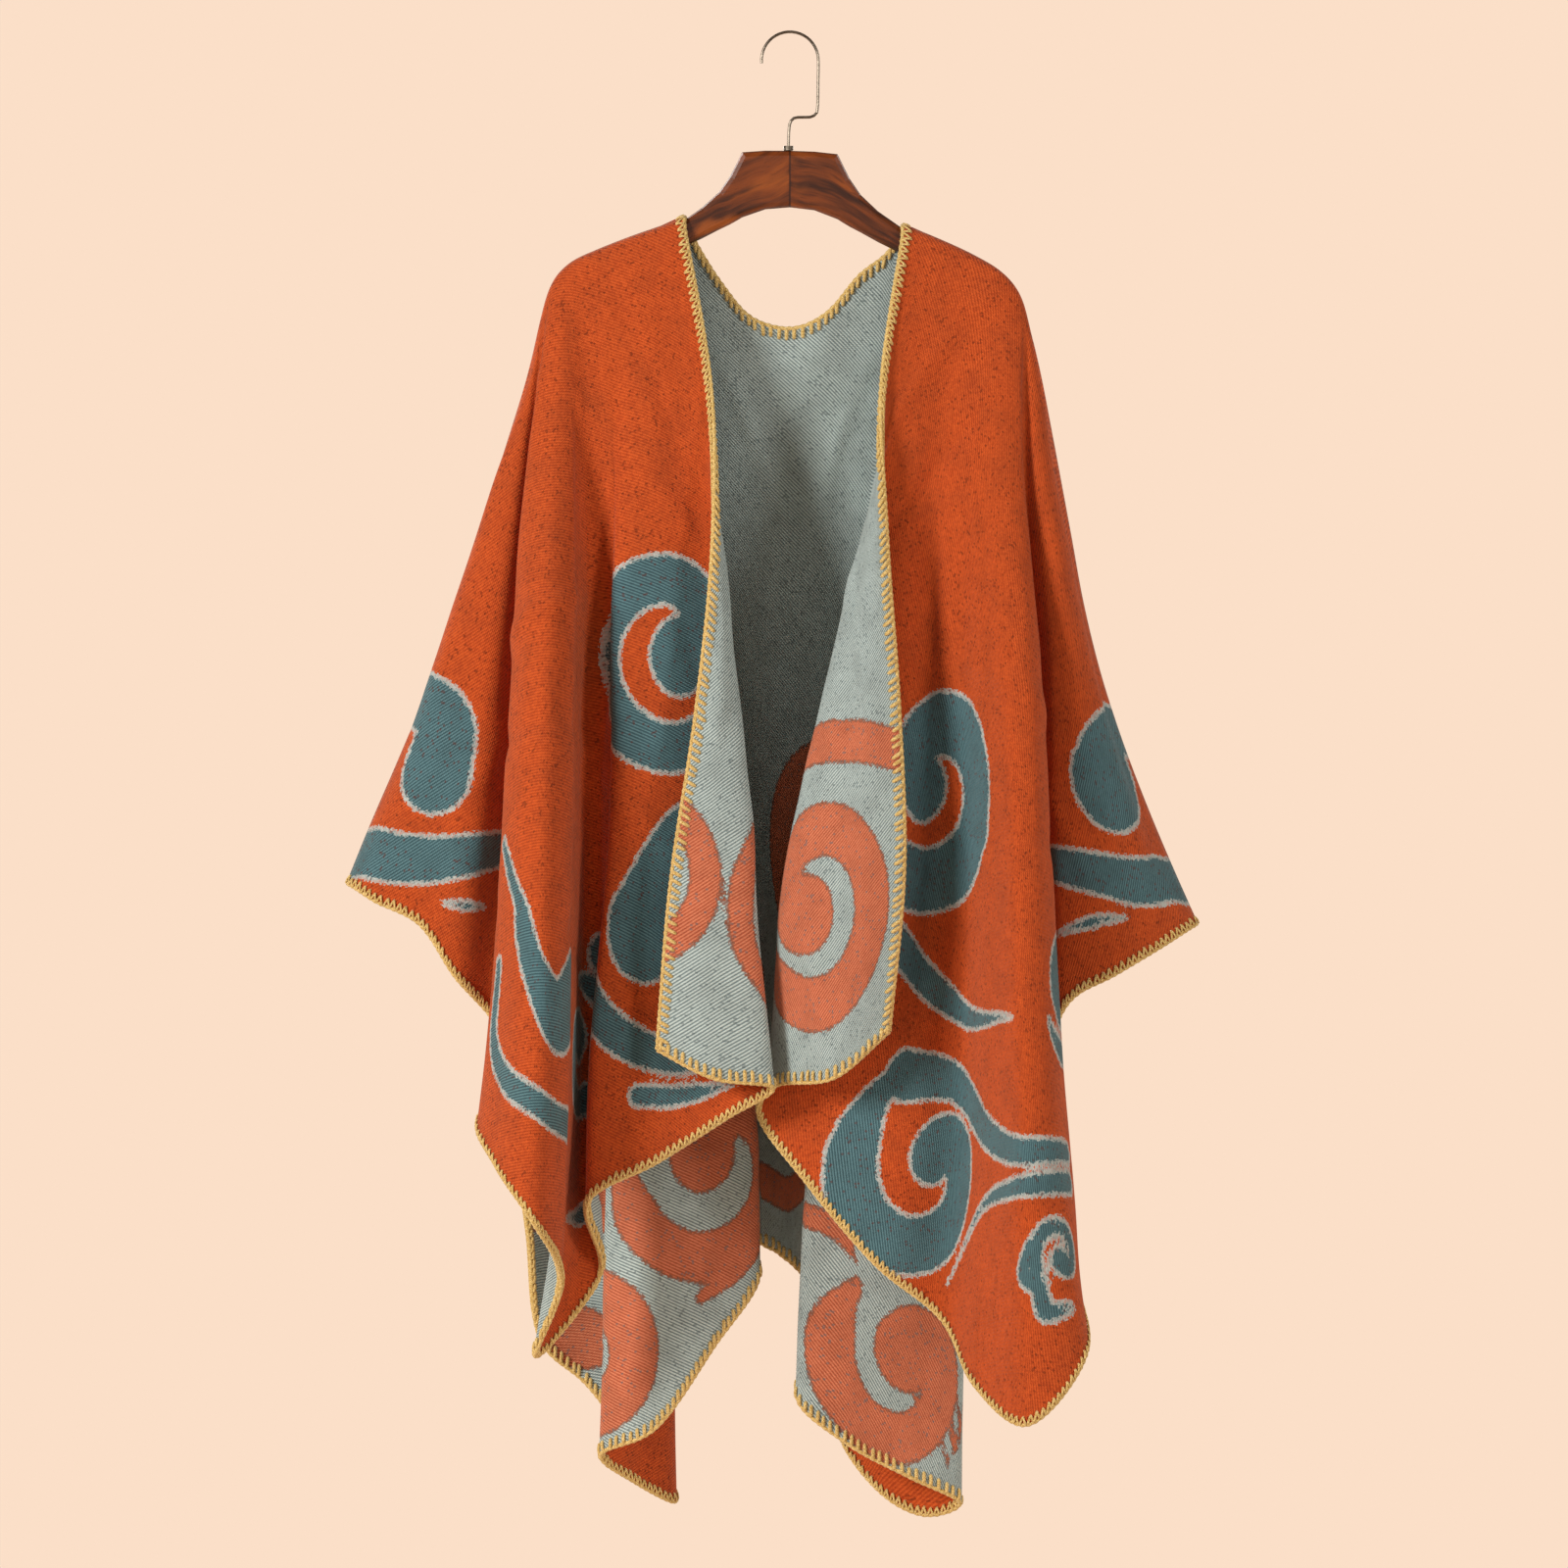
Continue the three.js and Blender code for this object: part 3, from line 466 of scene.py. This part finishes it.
class Nodes:
    """Short calls for building one material's nodes."""

    def __init__(self, name):
        self.material = bpy.data.materials.new(name)
        self.material.use_nodes = True
        self.tree = self.material.node_tree
        self.shader = self.tree.nodes["Principled BSDF"]

    def add(self, kind, inputs=(), **settings):
        node = self.tree.nodes.new(kind)
        for key, value in settings.items():
            setattr(node, key, value)
        for key, value in dict(inputs).items():
            self.put(node.inputs[key], value)
        return node

    def put(self, socket, value):
        if isinstance(value, bpy.types.NodeSocket):
            self.tree.links.new(value, socket)
        else:
            socket.default_value = value

    def math(self, operation, *values):
        return self.add("ShaderNodeMath", dict(enumerate(values)), operation=operation).outputs[0]

    def vector(self, operation, *values):
        return self.add("ShaderNodeVectorMath", dict(enumerate(values)), operation=operation).outputs[0]

    def mix(self, factor, a, b):
        return self.add("ShaderNodeMix", {0: factor, 6: a, 7: b}, data_type="RGBA").outputs[2]

    def ramp(self, value, low, high):
        node = self.add("ShaderNodeMapRange", {0: value, 1: low, 2: high}, interpolation_type="SMOOTHSTEP")
        return node.outputs[0]

    def noise(self, vector, scale, detail=2.0):
        return self.add("ShaderNodeTexNoise", {"Vector": vector, "Scale": scale, "Detail": detail}).outputs[0]

    def bump(self, height, strength, distance):
        """Relief on the shader's normal."""
        node = self.add("ShaderNodeBump", {"Height": height, "Strength": strength, "Distance": distance})
        self.put(self.shader.inputs["Normal"], node.outputs[0])


WEAVE = (2.1, 1.7)              # a stitch of the weave, across and down, in millimetres
JAGGED = 2.4                    # how far the stitches shift the edge of a motif, in millimetres
TWILL_PHASE = 1.1 * math.pi     # from one stitch to the next
OTHER_DRAW = (17, 31, 0)        # stitches away, for a second random number
YARN_TONES = (0.15, 0.85)       # shades at which a stitch has the dark and the light tone of its colour
GRIME = (0.02, 0.012, 0.01, 1)


def cloth_material(name, ground, ground_dark, motif, motif_dark, line, line_half, flecks, fleck_colour,
                   twills):
    """Jacquard cloth: two colours with a line between them, stitch by stitch, brushed and slightly ribbed.

    Stitches whose random number is above flecks have the fleck's colour, and twills are the shares of the
    twill in the tones of ground and motif.
    """
    n = Nodes(name)
    flat = n.add("ShaderNodeUVMap", uv_map="cloth").outputs[0]
    edge = n.add("ShaderNodeAttribute", attribute_name="motif").outputs["Fac"]
    cells = n.vector("MULTIPLY", flat, (1 / (WEAVE[0] * MM), 1 / (WEAVE[1] * MM), 1))
    cell = n.vector("FLOOR", cells)
    random = n.add("ShaderNodeTexWhiteNoise", {"Vector": cell}, noise_dimensions="2D").outputs[0]
    other = n.add("ShaderNodeTexWhiteNoise", {"Vector": n.vector("ADD", cell, OTHER_DRAW)},
                  noise_dimensions="2D").outputs[0]
    cloudy = n.noise(flat, 38, 3)
    streak = n.noise(n.vector("MULTIPLY", flat, (420, 90, 1)), 1, 2)
    jagged = n.math("ADD", edge, n.math("MULTIPLY", n.math("SUBTRACT", random, 0.5), JAGGED))
    inside = n.ramp(jagged, line_half, -line_half)
    on_line = n.math("LESS_THAN", n.math("ABSOLUTE", jagged), line_half)
    shade = n.math("ADD", n.math("MULTIPLY", random, 0.5), n.math("MULTIPLY", streak, 0.5))
    place = n.add("ShaderNodeSeparateXYZ", {0: cells}).outputs
    rib = n.math("SINE", n.math("MULTIPLY", place[1], 2 * math.pi))
    twill = n.math("SINE", n.math("MULTIPLY", n.math("SUBTRACT", place[0], place[1]), TWILL_PHASE))
    lines = n.math("ADD", n.math("MULTIPLY", twill, 0.4), 0.5)
    base = n.mix(n.ramp(n.mix(twills[0], shade, lines), *YARN_TONES), ground_dark, ground)
    figure = n.mix(n.ramp(n.mix(twills[1], shade, lines), *YARN_TONES), motif_dark, motif)
    tone = n.mix(n.math("GREATER_THAN", inside, 0.5), base, figure)
    halo = n.mix(n.math("MULTIPLY", other, 0.5), line, tone)
    tone = n.mix(on_line, tone, halo)
    tone = n.mix(n.math("MULTIPLY", n.math("GREATER_THAN", other, flecks), 0.55), tone, fleck_colour)
    tone = n.mix(n.math("MULTIPLY", n.ramp(cloudy, 0.35, 0.75), 0.16), tone, GRIME)
    n.put(n.shader.inputs["Base Color"], tone)
    height = n.math("ADD", n.math("MULTIPLY", rib, 0.3), n.math("MULTIPLY", twill, 0.35))
    height = n.math("ADD", height, n.math("MULTIPLY", random, 0.3))
    height = n.math("ADD", height, n.math("MULTIPLY", n.noise(flat, 900, 2), 0.8))
    n.bump(height, 0.55, 0.0009)
    n.put(n.shader.inputs["Roughness"], n.math("ADD", 0.86, n.math("MULTIPLY", random, 0.1)))
    n.shader.inputs["Specular IOR Level"].default_value = 0.2
    n.shader.inputs["Sheen Weight"].default_value = 0.22
    n.shader.inputs["Sheen Roughness"].default_value = 0.45
    n.shader.inputs["Sheen Tint"].default_value = (1.0, 0.86, 0.72, 1)
    return n.material


def yarn_material():
    n = Nodes("yarn")
    place = n.add("ShaderNodeTexCoord").outputs["Object"]
    strand = n.noise(place, 900, 2)
    patch = n.noise(place, 120, 2)
    tone = n.mix(n.ramp(strand, 0.3, 0.7), colour("BE9847"), colour("F6DC96"))
    tone = n.mix(n.math("MULTIPLY", patch, 0.25), tone, colour("D9A850"))
    n.put(n.shader.inputs["Base Color"], tone)
    n.put(n.shader.inputs["Roughness"], n.math("ADD", 0.7, n.math("MULTIPLY", strand, 0.2)))
    n.bump(strand, 0.5, 0.0006)
    n.shader.inputs["Sheen Weight"].default_value = 0.3
    n.shader.inputs["Specular IOR Level"].default_value = 0.3
    return n.material


ARM_SLOPE = 0.42                # drop of the grain for each metre out along the hanger's arms
JOINT_HALF = 0.0006             # half width of the joint in the hanger's middle, in metres


def wood_material():
    """Dark lacquered wood: the grain runs along the two arms, which meet at a joint in the middle.

    The arm's number, 0.9 or -0.9, keeps the grain of one arm from being the mirror image of the other's.
    """
    n = Nodes("lacquered_wood")
    place = n.add("ShaderNodeSeparateXYZ", {0: n.add("ShaderNodeTexCoord").outputs["Object"]}).outputs
    side = n.math("ABSOLUTE", place[0])
    level = n.math("ADD", place[2], n.math("MULTIPLY", side, ARM_SLOPE))
    arm = n.math("MULTIPLY", n.math("SIGN", place[0]), 0.9)
    along = n.add("ShaderNodeCombineXYZ", {0: n.math("ADD", side, arm), 1: place[1], 2: level}).outputs[0]
    bend = n.vector("ADD", along, n.vector("MULTIPLY", n.add(
        "ShaderNodeTexNoise", {"Vector": along, "Scale": 14, "Detail": 2}).outputs[1], (0.03, 0.02, 0.03)))
    grain = n.noise(n.vector("MULTIPLY", bend, (14, 60, 150)), 1, 5)
    flame = n.noise(n.vector("MULTIPLY", bend, (22, 30, 46)), 1, 2)
    pore = n.noise(n.vector("MULTIPLY", bend, (70, 700, 1100)), 1, 2)
    tone = n.mix(n.ramp(grain, 0.34, 0.62), colour("3C1A08"), colour("7C3A10"))
    tone = n.mix(n.math("MULTIPLY", n.ramp(flame, 0.5, 0.68), 0.75), tone, colour("A65418"))
    tone = n.mix(n.math("MULTIPLY", n.ramp(pore, 0.55, 0.75), 0.5), tone, colour("260C04"))
    joint = n.ramp(side, 2 * JOINT_HALF, JOINT_HALF / 2)
    n.put(n.shader.inputs["Base Color"], n.mix(n.math("MULTIPLY", joint, 0.8), tone, colour("240C04")))
    n.put(n.shader.inputs["Roughness"], n.math("ADD", 0.34, n.math("MULTIPLY", grain, 0.14)))
    n.shader.inputs["Specular IOR Level"].default_value = 0.35
    n.shader.inputs["Coat Weight"].default_value = 0.12
    n.shader.inputs["Coat Roughness"].default_value = 0.2
    n.bump(n.math("SUBTRACT", pore, joint), 0.15, 0.0004)
    return n.material


def metal_material():
    n = Nodes("satin_nickel")
    place = n.add("ShaderNodeTexCoord").outputs["Object"]
    worn = n.noise(place, 300, 3)
    n.put(n.shader.inputs["Base Color"], n.mix(worn, colour("6F665A"), colour("A59A8B")))
    n.shader.inputs["Metallic"].default_value = 1.0
    n.put(n.shader.inputs["Roughness"], n.math("ADD", 0.2, n.math("MULTIPLY", worn, 0.2)))
    return n.material


OUTER = cloth_material(
    "cloth_outer", colour("DE6129"), colour("AE4115"), colour("668E96"), colour("36565E"), colour("C6CDC8"),
    2.1, 0.95, colour("5E2008"), (0.45, 0.75))
INNER = cloth_material(
    "cloth_inner", colour("D2E2DE"), colour("77898B"), colour("E88D69"), colour("B4583A"), colour("93604C"),
    1.3, 0.95, colour("5E6E72"), (0.8, 0.7))
YARN = yarn_material()
WOOD = wood_material()
METAL = metal_material()


# Meshes
def make_mesh(name, points, quads, materials, face_material=None):
    mesh = bpy.data.meshes.new(name)
    mesh.vertices.add(len(points))
    mesh.vertices.foreach_set("co", (np.asarray(points, float) * MM).ravel())
    quads = np.asarray(quads, np.int32)
    mesh.loops.add(quads.size)
    mesh.loops.foreach_set("vertex_index", quads.ravel())
    mesh.polygons.add(len(quads))
    mesh.polygons.foreach_set("loop_start", np.arange(0, quads.size, 4, dtype=np.int32))
    mesh.update(calc_edges=True)
    for material in materials:
        mesh.materials.append(material)
    if face_material is not None:
        mesh.polygons.foreach_set("material_index", np.asarray(face_material, np.int32))
    mesh.polygons.foreach_set("use_smooth", np.ones(len(quads), bool))
    mesh.validate()
    piece = bpy.data.objects.new(name, mesh)
    bpy.context.collection.objects.link(piece)
    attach(piece, "root")
    return piece


def cloth_piece(name, grid, normal, flat, outward, side):
    """The closed thin wall of one panel, outer and inner face apart, with its pattern and flat places."""
    rows, columns = grid.shape[:2]
    faces = [grid + normal * WALL / 2, grid - normal * WALL / 2]
    for face in faces:
        face[..., 1] = side * np.maximum(side * face[..., 1], FLUSH_GAP / 2)
    index = np.arange(rows * columns).reshape(rows, columns)
    a, b, c, d = index[:-1, :-1], index[:-1, 1:], index[1:, 1:], index[1:, :-1]
    outer = np.stack([a, b, c, d], -1).reshape(-1, 4)
    inner = np.stack([a, d, c, b], -1).reshape(-1, 4) + rows * columns
    border = np.concatenate([index[0, :-1], index[:-1, -1], index[-1, :0:-1], index[:0:-1, 0]])
    after = np.roll(border, -1)
    rim = np.stack([border, border + rows * columns, after + rows * columns, after], -1)
    quads = np.concatenate([outer, inner, rim])
    if outward < 0:
        quads = quads[:, ::-1]
    material = np.concatenate([np.zeros(len(outer)), np.ones(len(inner)), np.zeros(len(rim))])
    points = np.concatenate([face.reshape(-1, 3) for face in faces])
    piece = make_mesh(name, points, quads, [OUTER, INNER], material)
    mesh = piece.data
    distance = motif_distance(name.replace("_cloth", ""), flat).ravel()
    mesh.attributes.new("motif", "FLOAT", "POINT").data.foreach_set("value", np.tile(distance, 2))
    layer = mesh.uv_layers.new(name="cloth")
    corners = np.empty(len(mesh.loops), np.int32)
    mesh.loops.foreach_get("vertex_index", corners)
    places = np.tile(flat.reshape(-1, 2), (2, 1)) * MM
    layer.data.foreach_set("uv", places[corners].ravel())
    return piece


def tubes(paths, ups, radius, sides=6, flatten=1.0):
    """Points and quads of round strands along paths (count, steps, 3); ups are directions off the cloth."""
    count, steps = paths.shape[:2]
    along = unit(np.gradient(paths, axis=1))
    across = unit(np.cross(along, ups))
    up = np.cross(across, along)
    angle = np.arange(sides) * 2 * np.pi / sides
    radius = np.broadcast_to(radius, (count, steps))[..., None, None]
    ring = (across[:, :, None] * np.cos(angle)[:, None] + up[:, :, None] * (flatten * np.sin(angle))[:, None])
    points = paths[:, :, None] + ring * radius
    index = np.arange(count * steps * sides).reshape(count, steps, sides)
    turned = np.roll(index, -1, axis=2)
    walls = np.stack([index[:, :-1], turned[:, :-1], turned[:, 1:], index[:, 1:]], -1).reshape(-1, 4)
    half = sides // 2
    caps = []
    for end, flip in ((0, 1), (steps - 1, -1)):
        for k in range(1, half):
            quad = index[:, end][:, [k - 1, k, sides - k - 1, (sides - k) % sides]]
            caps.append(quad[:, ::-flip] if flip > 0 else quad)
    return points.reshape(-1, 3), np.concatenate([walls, *caps])


def joined(parts):
    """One list of points and quads from several."""
    points, quads, offset = [], [], 0
    for p, q in parts:
        points.append(p)
        quads.append(q + offset)
        offset += len(p)
    return np.concatenate(points), np.concatenate(quads)


# Blanket stitch
STITCH = {"outer_pitch": 5.8, "outer_depth": 7.2, "inner_pitch": 6.7, "inner_depth": 9.0, "yarn": 1.2,
          "cord": 1.8}
LOOP_LEGS = (-0.46, 0.46)       # where a loop's two legs leave the edge, in pitches from its middle
LOOP_TIP = 0.04                 # and where they meet
LOOP_OVERHANG = 0.6             # taken off a leg's depths, as far as the edge
LOOP_SHARES = np.array([0, 0.1, 0.5, 0.9, 1.0])         # places on a leg, from the edge to its tip
LOOP_LIFTS = np.array([0.1, 1.0, 1.25, 1.05, 0.3])      # their heights, and the same for the inner bars
BAR_SHARES = np.array([0, 0.12, 0.5, 0.88, 1.0])
BAR_LIFTS = np.array([0.1, 1.0, 1.2, 1.0, 0.3])
BAR_WIDTHS = np.array([1.2, 1.3, 1.35, 1.25, 0.8])
CORD_STEP = 1.45
CORD_KNOTS = 0.16               # how much thicker the cord is where a loop leaves it
EDGE_POINTS = 8                 # of the cloth's mesh, from an edge inwards, that the stitches follow


class Edge:
    """An edge of the cloth: lines of points that run from the edge into the cloth."""

    def __init__(self, inward, normal):
        self.inward, self.normal = inward, normal
        steps = np.linalg.norm(np.diff(inward[:, 0], axis=0), axis=1)
        self.along = np.concatenate([[0], np.cumsum(steps)])
        self.length = self.along[-1]
        spans = np.linalg.norm(np.diff(inward, axis=1), axis=2)
        self.depth = np.concatenate([np.zeros((len(inward), 1)), np.cumsum(spans, axis=1)], axis=1)

    def at(self, place, depth):
        """Points and normals at distances along the edge and into the cloth."""
        place = np.clip(place, 0, self.length - 1e-6)
        k = np.clip(np.searchsorted(self.along, place, side="right") - 1, 0, len(self.along) - 2)
        f = ((place - self.along[k]) / (self.along[k + 1] - self.along[k]))[:, None]
        found = []
        for values in (self.inward, self.normal):
            ends = []
            for i in (k, k + 1):
                deep = self.depth[i]
                j = np.clip((deep < depth[:, None]).sum(1) - 1, 0, deep.shape[1] - 2)
                rows = np.arange(len(i))
                g = ((depth - deep[rows, j]) / np.maximum(deep[rows, j + 1] - deep[rows, j], 1e-6))[:, None]
                ends.append(values[i, j] * (1 - g) + values[i, j + 1] * g)
            found.append(ends[0] * (1 - f) + ends[1] * f)
        return found

    def strand(self, places, depths, lifts):
        """Paths of strands from arrays (count, steps) of places, depths and heights off the cloth."""
        point, normal = self.at(places.ravel(), depths.ravel())
        point, normal = point.reshape(places.shape + (3,)), normal.reshape(places.shape + (3,))
        return point + normal * lifts[..., None], normal


def edge_of(grid, normal, kind):
    """kind is slit (the first column), hem (the last row) or a range of columns of the top row."""
    if kind == "slit":
        return Edge(grid[:, :EDGE_POINTS], normal[:, :EDGE_POINTS])
    if kind == "hem":
        rows, columns = slice(None, -EDGE_POINTS - 1, -1), slice(None)
    else:
        rows, columns = slice(EDGE_POINTS), slice(*kind)
    return Edge(grid[rows, columns].swapaxes(0, 1), normal[rows, columns].swapaxes(0, 1))


def stitch_places(edge, pitch, spread, draw):
    """Places along the edge for whole stitches about one pitch apart, each a little off by chance."""
    count = int(edge.length / pitch)
    return (np.arange(count) + 0.5) * edge.length / count + draw.normal(0, spread, count)


def blanket_stitch(edge, seed):
    """Slanted loops on the outer face, bars on the inner face, and the cord that joins them at the edge."""
    draw = np.random.default_rng(seed)
    proud = WALL / 2 + STITCH["yarn"] * 0.7
    parts = []
    start = stitch_places(edge, STITCH["outer_pitch"], 0.35, draw)
    count = len(start)
    pitch = edge.length / count
    deep = STITCH["outer_depth"] * (1 + draw.normal(0, 0.06, (count, 1)))
    lifts = np.tile(proud * LOOP_LIFTS, (count, 1))
    for leg in LOOP_LEGS:
        places = start[:, None] + pitch * (leg * (1 - LOOP_SHARES) + LOOP_TIP * LOOP_SHARES)
        path, up = edge.strand(places, np.maximum(deep * LOOP_SHARES - LOOP_OVERHANG, 0), lifts)
        parts.append(tubes(path, up, STITCH["yarn"] * 0.8, flatten=0.8))
    start = stitch_places(edge, STITCH["inner_pitch"], 0.4, draw)
    count = len(start)
    deep = STITCH["inner_depth"] * (1 + draw.normal(0, 0.07, (count, 1)))
    places = start[:, None] + draw.normal(0, 0.5, (count, 1)) * BAR_SHARES
    lifts = np.tile(-proud * BAR_LIFTS, (count, 1))
    path, up = edge.strand(places, deep * BAR_SHARES, lifts)
    parts.append(tubes(path, up, STITCH["yarn"] * BAR_WIDTHS, flatten=0.8))
    steps = int(edge.length / CORD_STEP)
    places = np.linspace(0, edge.length, steps)[None]
    knots = 1 + CORD_KNOTS * np.sin(places / STITCH["outer_pitch"] * 2 * np.pi)
    path, up = edge.strand(places, np.zeros_like(places), np.zeros_like(places))
    parts.append(tubes(path, up, STITCH["cord"] * knots, sides=8))
    return joined(parts)


# Panels: fold lines, the number of the one that hangs straight down, the sign that turns the normals
# outwards, and the side of the shoulder line, -1 in front and 1 behind
PANELS = {
    "front_left": (shoulder_lines(FRONT_LEFT, SEAM_LEFT, -1) + [ridge(SEAM_LEFT, ROLL_LEFT, -1)], 0, 1, -1),
    "front_right": (shoulder_lines(FRONT_RIGHT, SEAM_RIGHT, -1) + [ridge(SEAM_RIGHT, ROLL_RIGHT, -1)],
                    0, -1, -1),
    "back": ([ridge(SEAM_LEFT, ROLL_LEFT, 1)] + shoulder_lines(BACK_LEFT, SEAM_LEFT, 1) + neck_lines()
             + shoulder_lines(BACK_RIGHT, SEAM_RIGHT, 1)[::-1] + [ridge(SEAM_RIGHT, ROLL_RIGHT, 1)],
             len(BACK_LEFT) + 1 + len(BACK_NECK) // 2, 1, 1)}
RIDGE_BLEND = 7.0               # distance from the shoulder line over which the normals turn level
ON_RIDGE = 1.1 * SEAM_GAP       # points closer than this lie on the shoulder line
BEHIND = 5.0                    # the neck's edge lies this far behind it, the rest of the top row doesn't
SEEDS = 10                      # random seeds kept for each panel's edges

surfaces = {}
for name, (lines, centre, outward, side) in PANELS.items():
    grid, flat = cloth_grid(lines, centre)
    normal = normals_of(grid, outward)
    fade = np.clip((side * grid[..., 1:2] - CREASE_FREE) / CREASE_FADE, 0, 1)
    grid = grid + normal * crease_height(name, flat)[..., None] * fade
    grid[np.abs(grid[..., 1]) < ON_RIDGE, 1] = side * FLUSH_GAP / 2
    normal = normals_of(grid, outward)
    normal[..., 1] *= np.clip(np.abs(grid[..., 1]) / RIDGE_BLEND, 0, 1)     # the panels meet flush
    surfaces[name] = (grid, unit(normal), flat, outward, side)

for number, (name, (grid, normal, flat, outward, side)) in enumerate(surfaces.items()):
    cloth = cloth_piece(f"{name}_cloth", grid, normal, flat, outward, side)
    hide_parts(*[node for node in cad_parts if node.startswith(name)])
    kinds = ["hem", "slit"] if name != "back" else ["hem"]
    if name == "back":
        neck = np.nonzero(grid[0, :, 1] > BEHIND)[0]
        kinds.append((neck[0], neck[-1] + 1))
    sewing = [blanket_stitch(edge_of(grid, normal, kind), SEEDS * number + k) for k, kind in enumerate(kinds)]
    stitch = make_mesh(f"{name}_stitch", *joined(sewing), [YARN])


# Hanger: the CAD nodes keep their place and get their finish here
for node, material in (("hanger_bar", WOOD), ("hanger_hook", METAL), ("hanger_nut", METAL)):
    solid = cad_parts[node]
    solid.data.materials.clear()
    solid.data.materials.append(material)


# Floor, light and camera
FLOOR_Z = -1.5
FLOOR_RADIUS = 2.2
bpy.ops.mesh.primitive_circle_add(vertices=96, radius=FLOOR_RADIUS, fill_type="NGON",
                                  location=(0, 0, FLOOR_Z))
floor = bpy.context.object
floor.name = "floor"
pale = Nodes("pale_floor")
pale.shader.inputs["Base Color"].default_value = colour("F3DCC9")
pale.shader.inputs["Roughness"].default_value = 0.85
floor.data.materials.append(pale.material)

SKY_LIGHT = 0.17                # strength of the plain backdrop as light on the object
SKY_SEEN = 1.0                  # and as it is seen
world = bpy.data.worlds.new("studio")
bpy.context.scene.world = world
world.use_nodes = True
sky = world.node_tree.nodes["Background"]
sky.inputs[0].default_value = colour("FBDFC8")
rays = world.node_tree.nodes.new("ShaderNodeLightPath")
level = world.node_tree.nodes.new("ShaderNodeMapRange")
level.inputs["To Min"].default_value = SKY_LIGHT
level.inputs["To Max"].default_value = SKY_SEEN
world.node_tree.links.new(rays.outputs["Is Camera Ray"], level.inputs[0])
world.node_tree.links.new(level.outputs[0], sky.inputs[1])


MIDDLE = (0, 0, -0.6)           # what every lamp points at
WARM = (1.0, 0.96, 0.92)
LESS_WARM = (1.0, 0.97, 0.94)


def area_light(name, place, size, power, tint=WARM):
    data = bpy.data.lights.new(name, "AREA")
    data.shape, data.size, data.size_y = "RECTANGLE", size[0], size[1]
    data.energy, data.color = power, tint
    lamp = bpy.data.objects.new(name, data)
    bpy.context.collection.objects.link(lamp)
    lamp.location = place
    lamp.rotation_euler = (Vector(MIDDLE) - Vector(place)).to_track_quat("-Z", "Y").to_euler()


area_light("key_left", (-2.9, -2.5, 0.5), (0.9, 1.4), 126)
area_light("key_right", (3.0, -2.4, 0.4), (0.9, 1.4), 52)
area_light("fill", (-0.4, -4.2, 0.2), (1.8, 1.8), 9)
area_light("back_left", (-1.6, 2.8, 0.9), (1.6, 1.6), 50, LESS_WARM)
area_light("back_right", (2.2, 2.2, 0.4), (1.6, 1.6), 26)

PHOTO_SIDE = 1.28               # metres across the photo at the hanger
PHOTO_X, PHOTO_Z = -0.0048, -0.6128     # the photo's middle
CAMERA_DISTANCE = 7.0
SENSOR = 36.0
camera = bpy.data.objects.new("camera", bpy.data.cameras.new("camera"))
bpy.context.collection.objects.link(camera)
camera.data.sensor_width = SENSOR
camera.data.lens = SENSOR * CAMERA_DISTANCE / PHOTO_SIDE
camera.location = (PHOTO_X, -CAMERA_DISTANCE, PHOTO_Z)
camera.rotation_euler = (math.radians(90), 0, 0)
camera.data.clip_end = 100
bpy.context.scene.camera = camera
bpy.context.scene.view_settings.view_transform = "Standard"
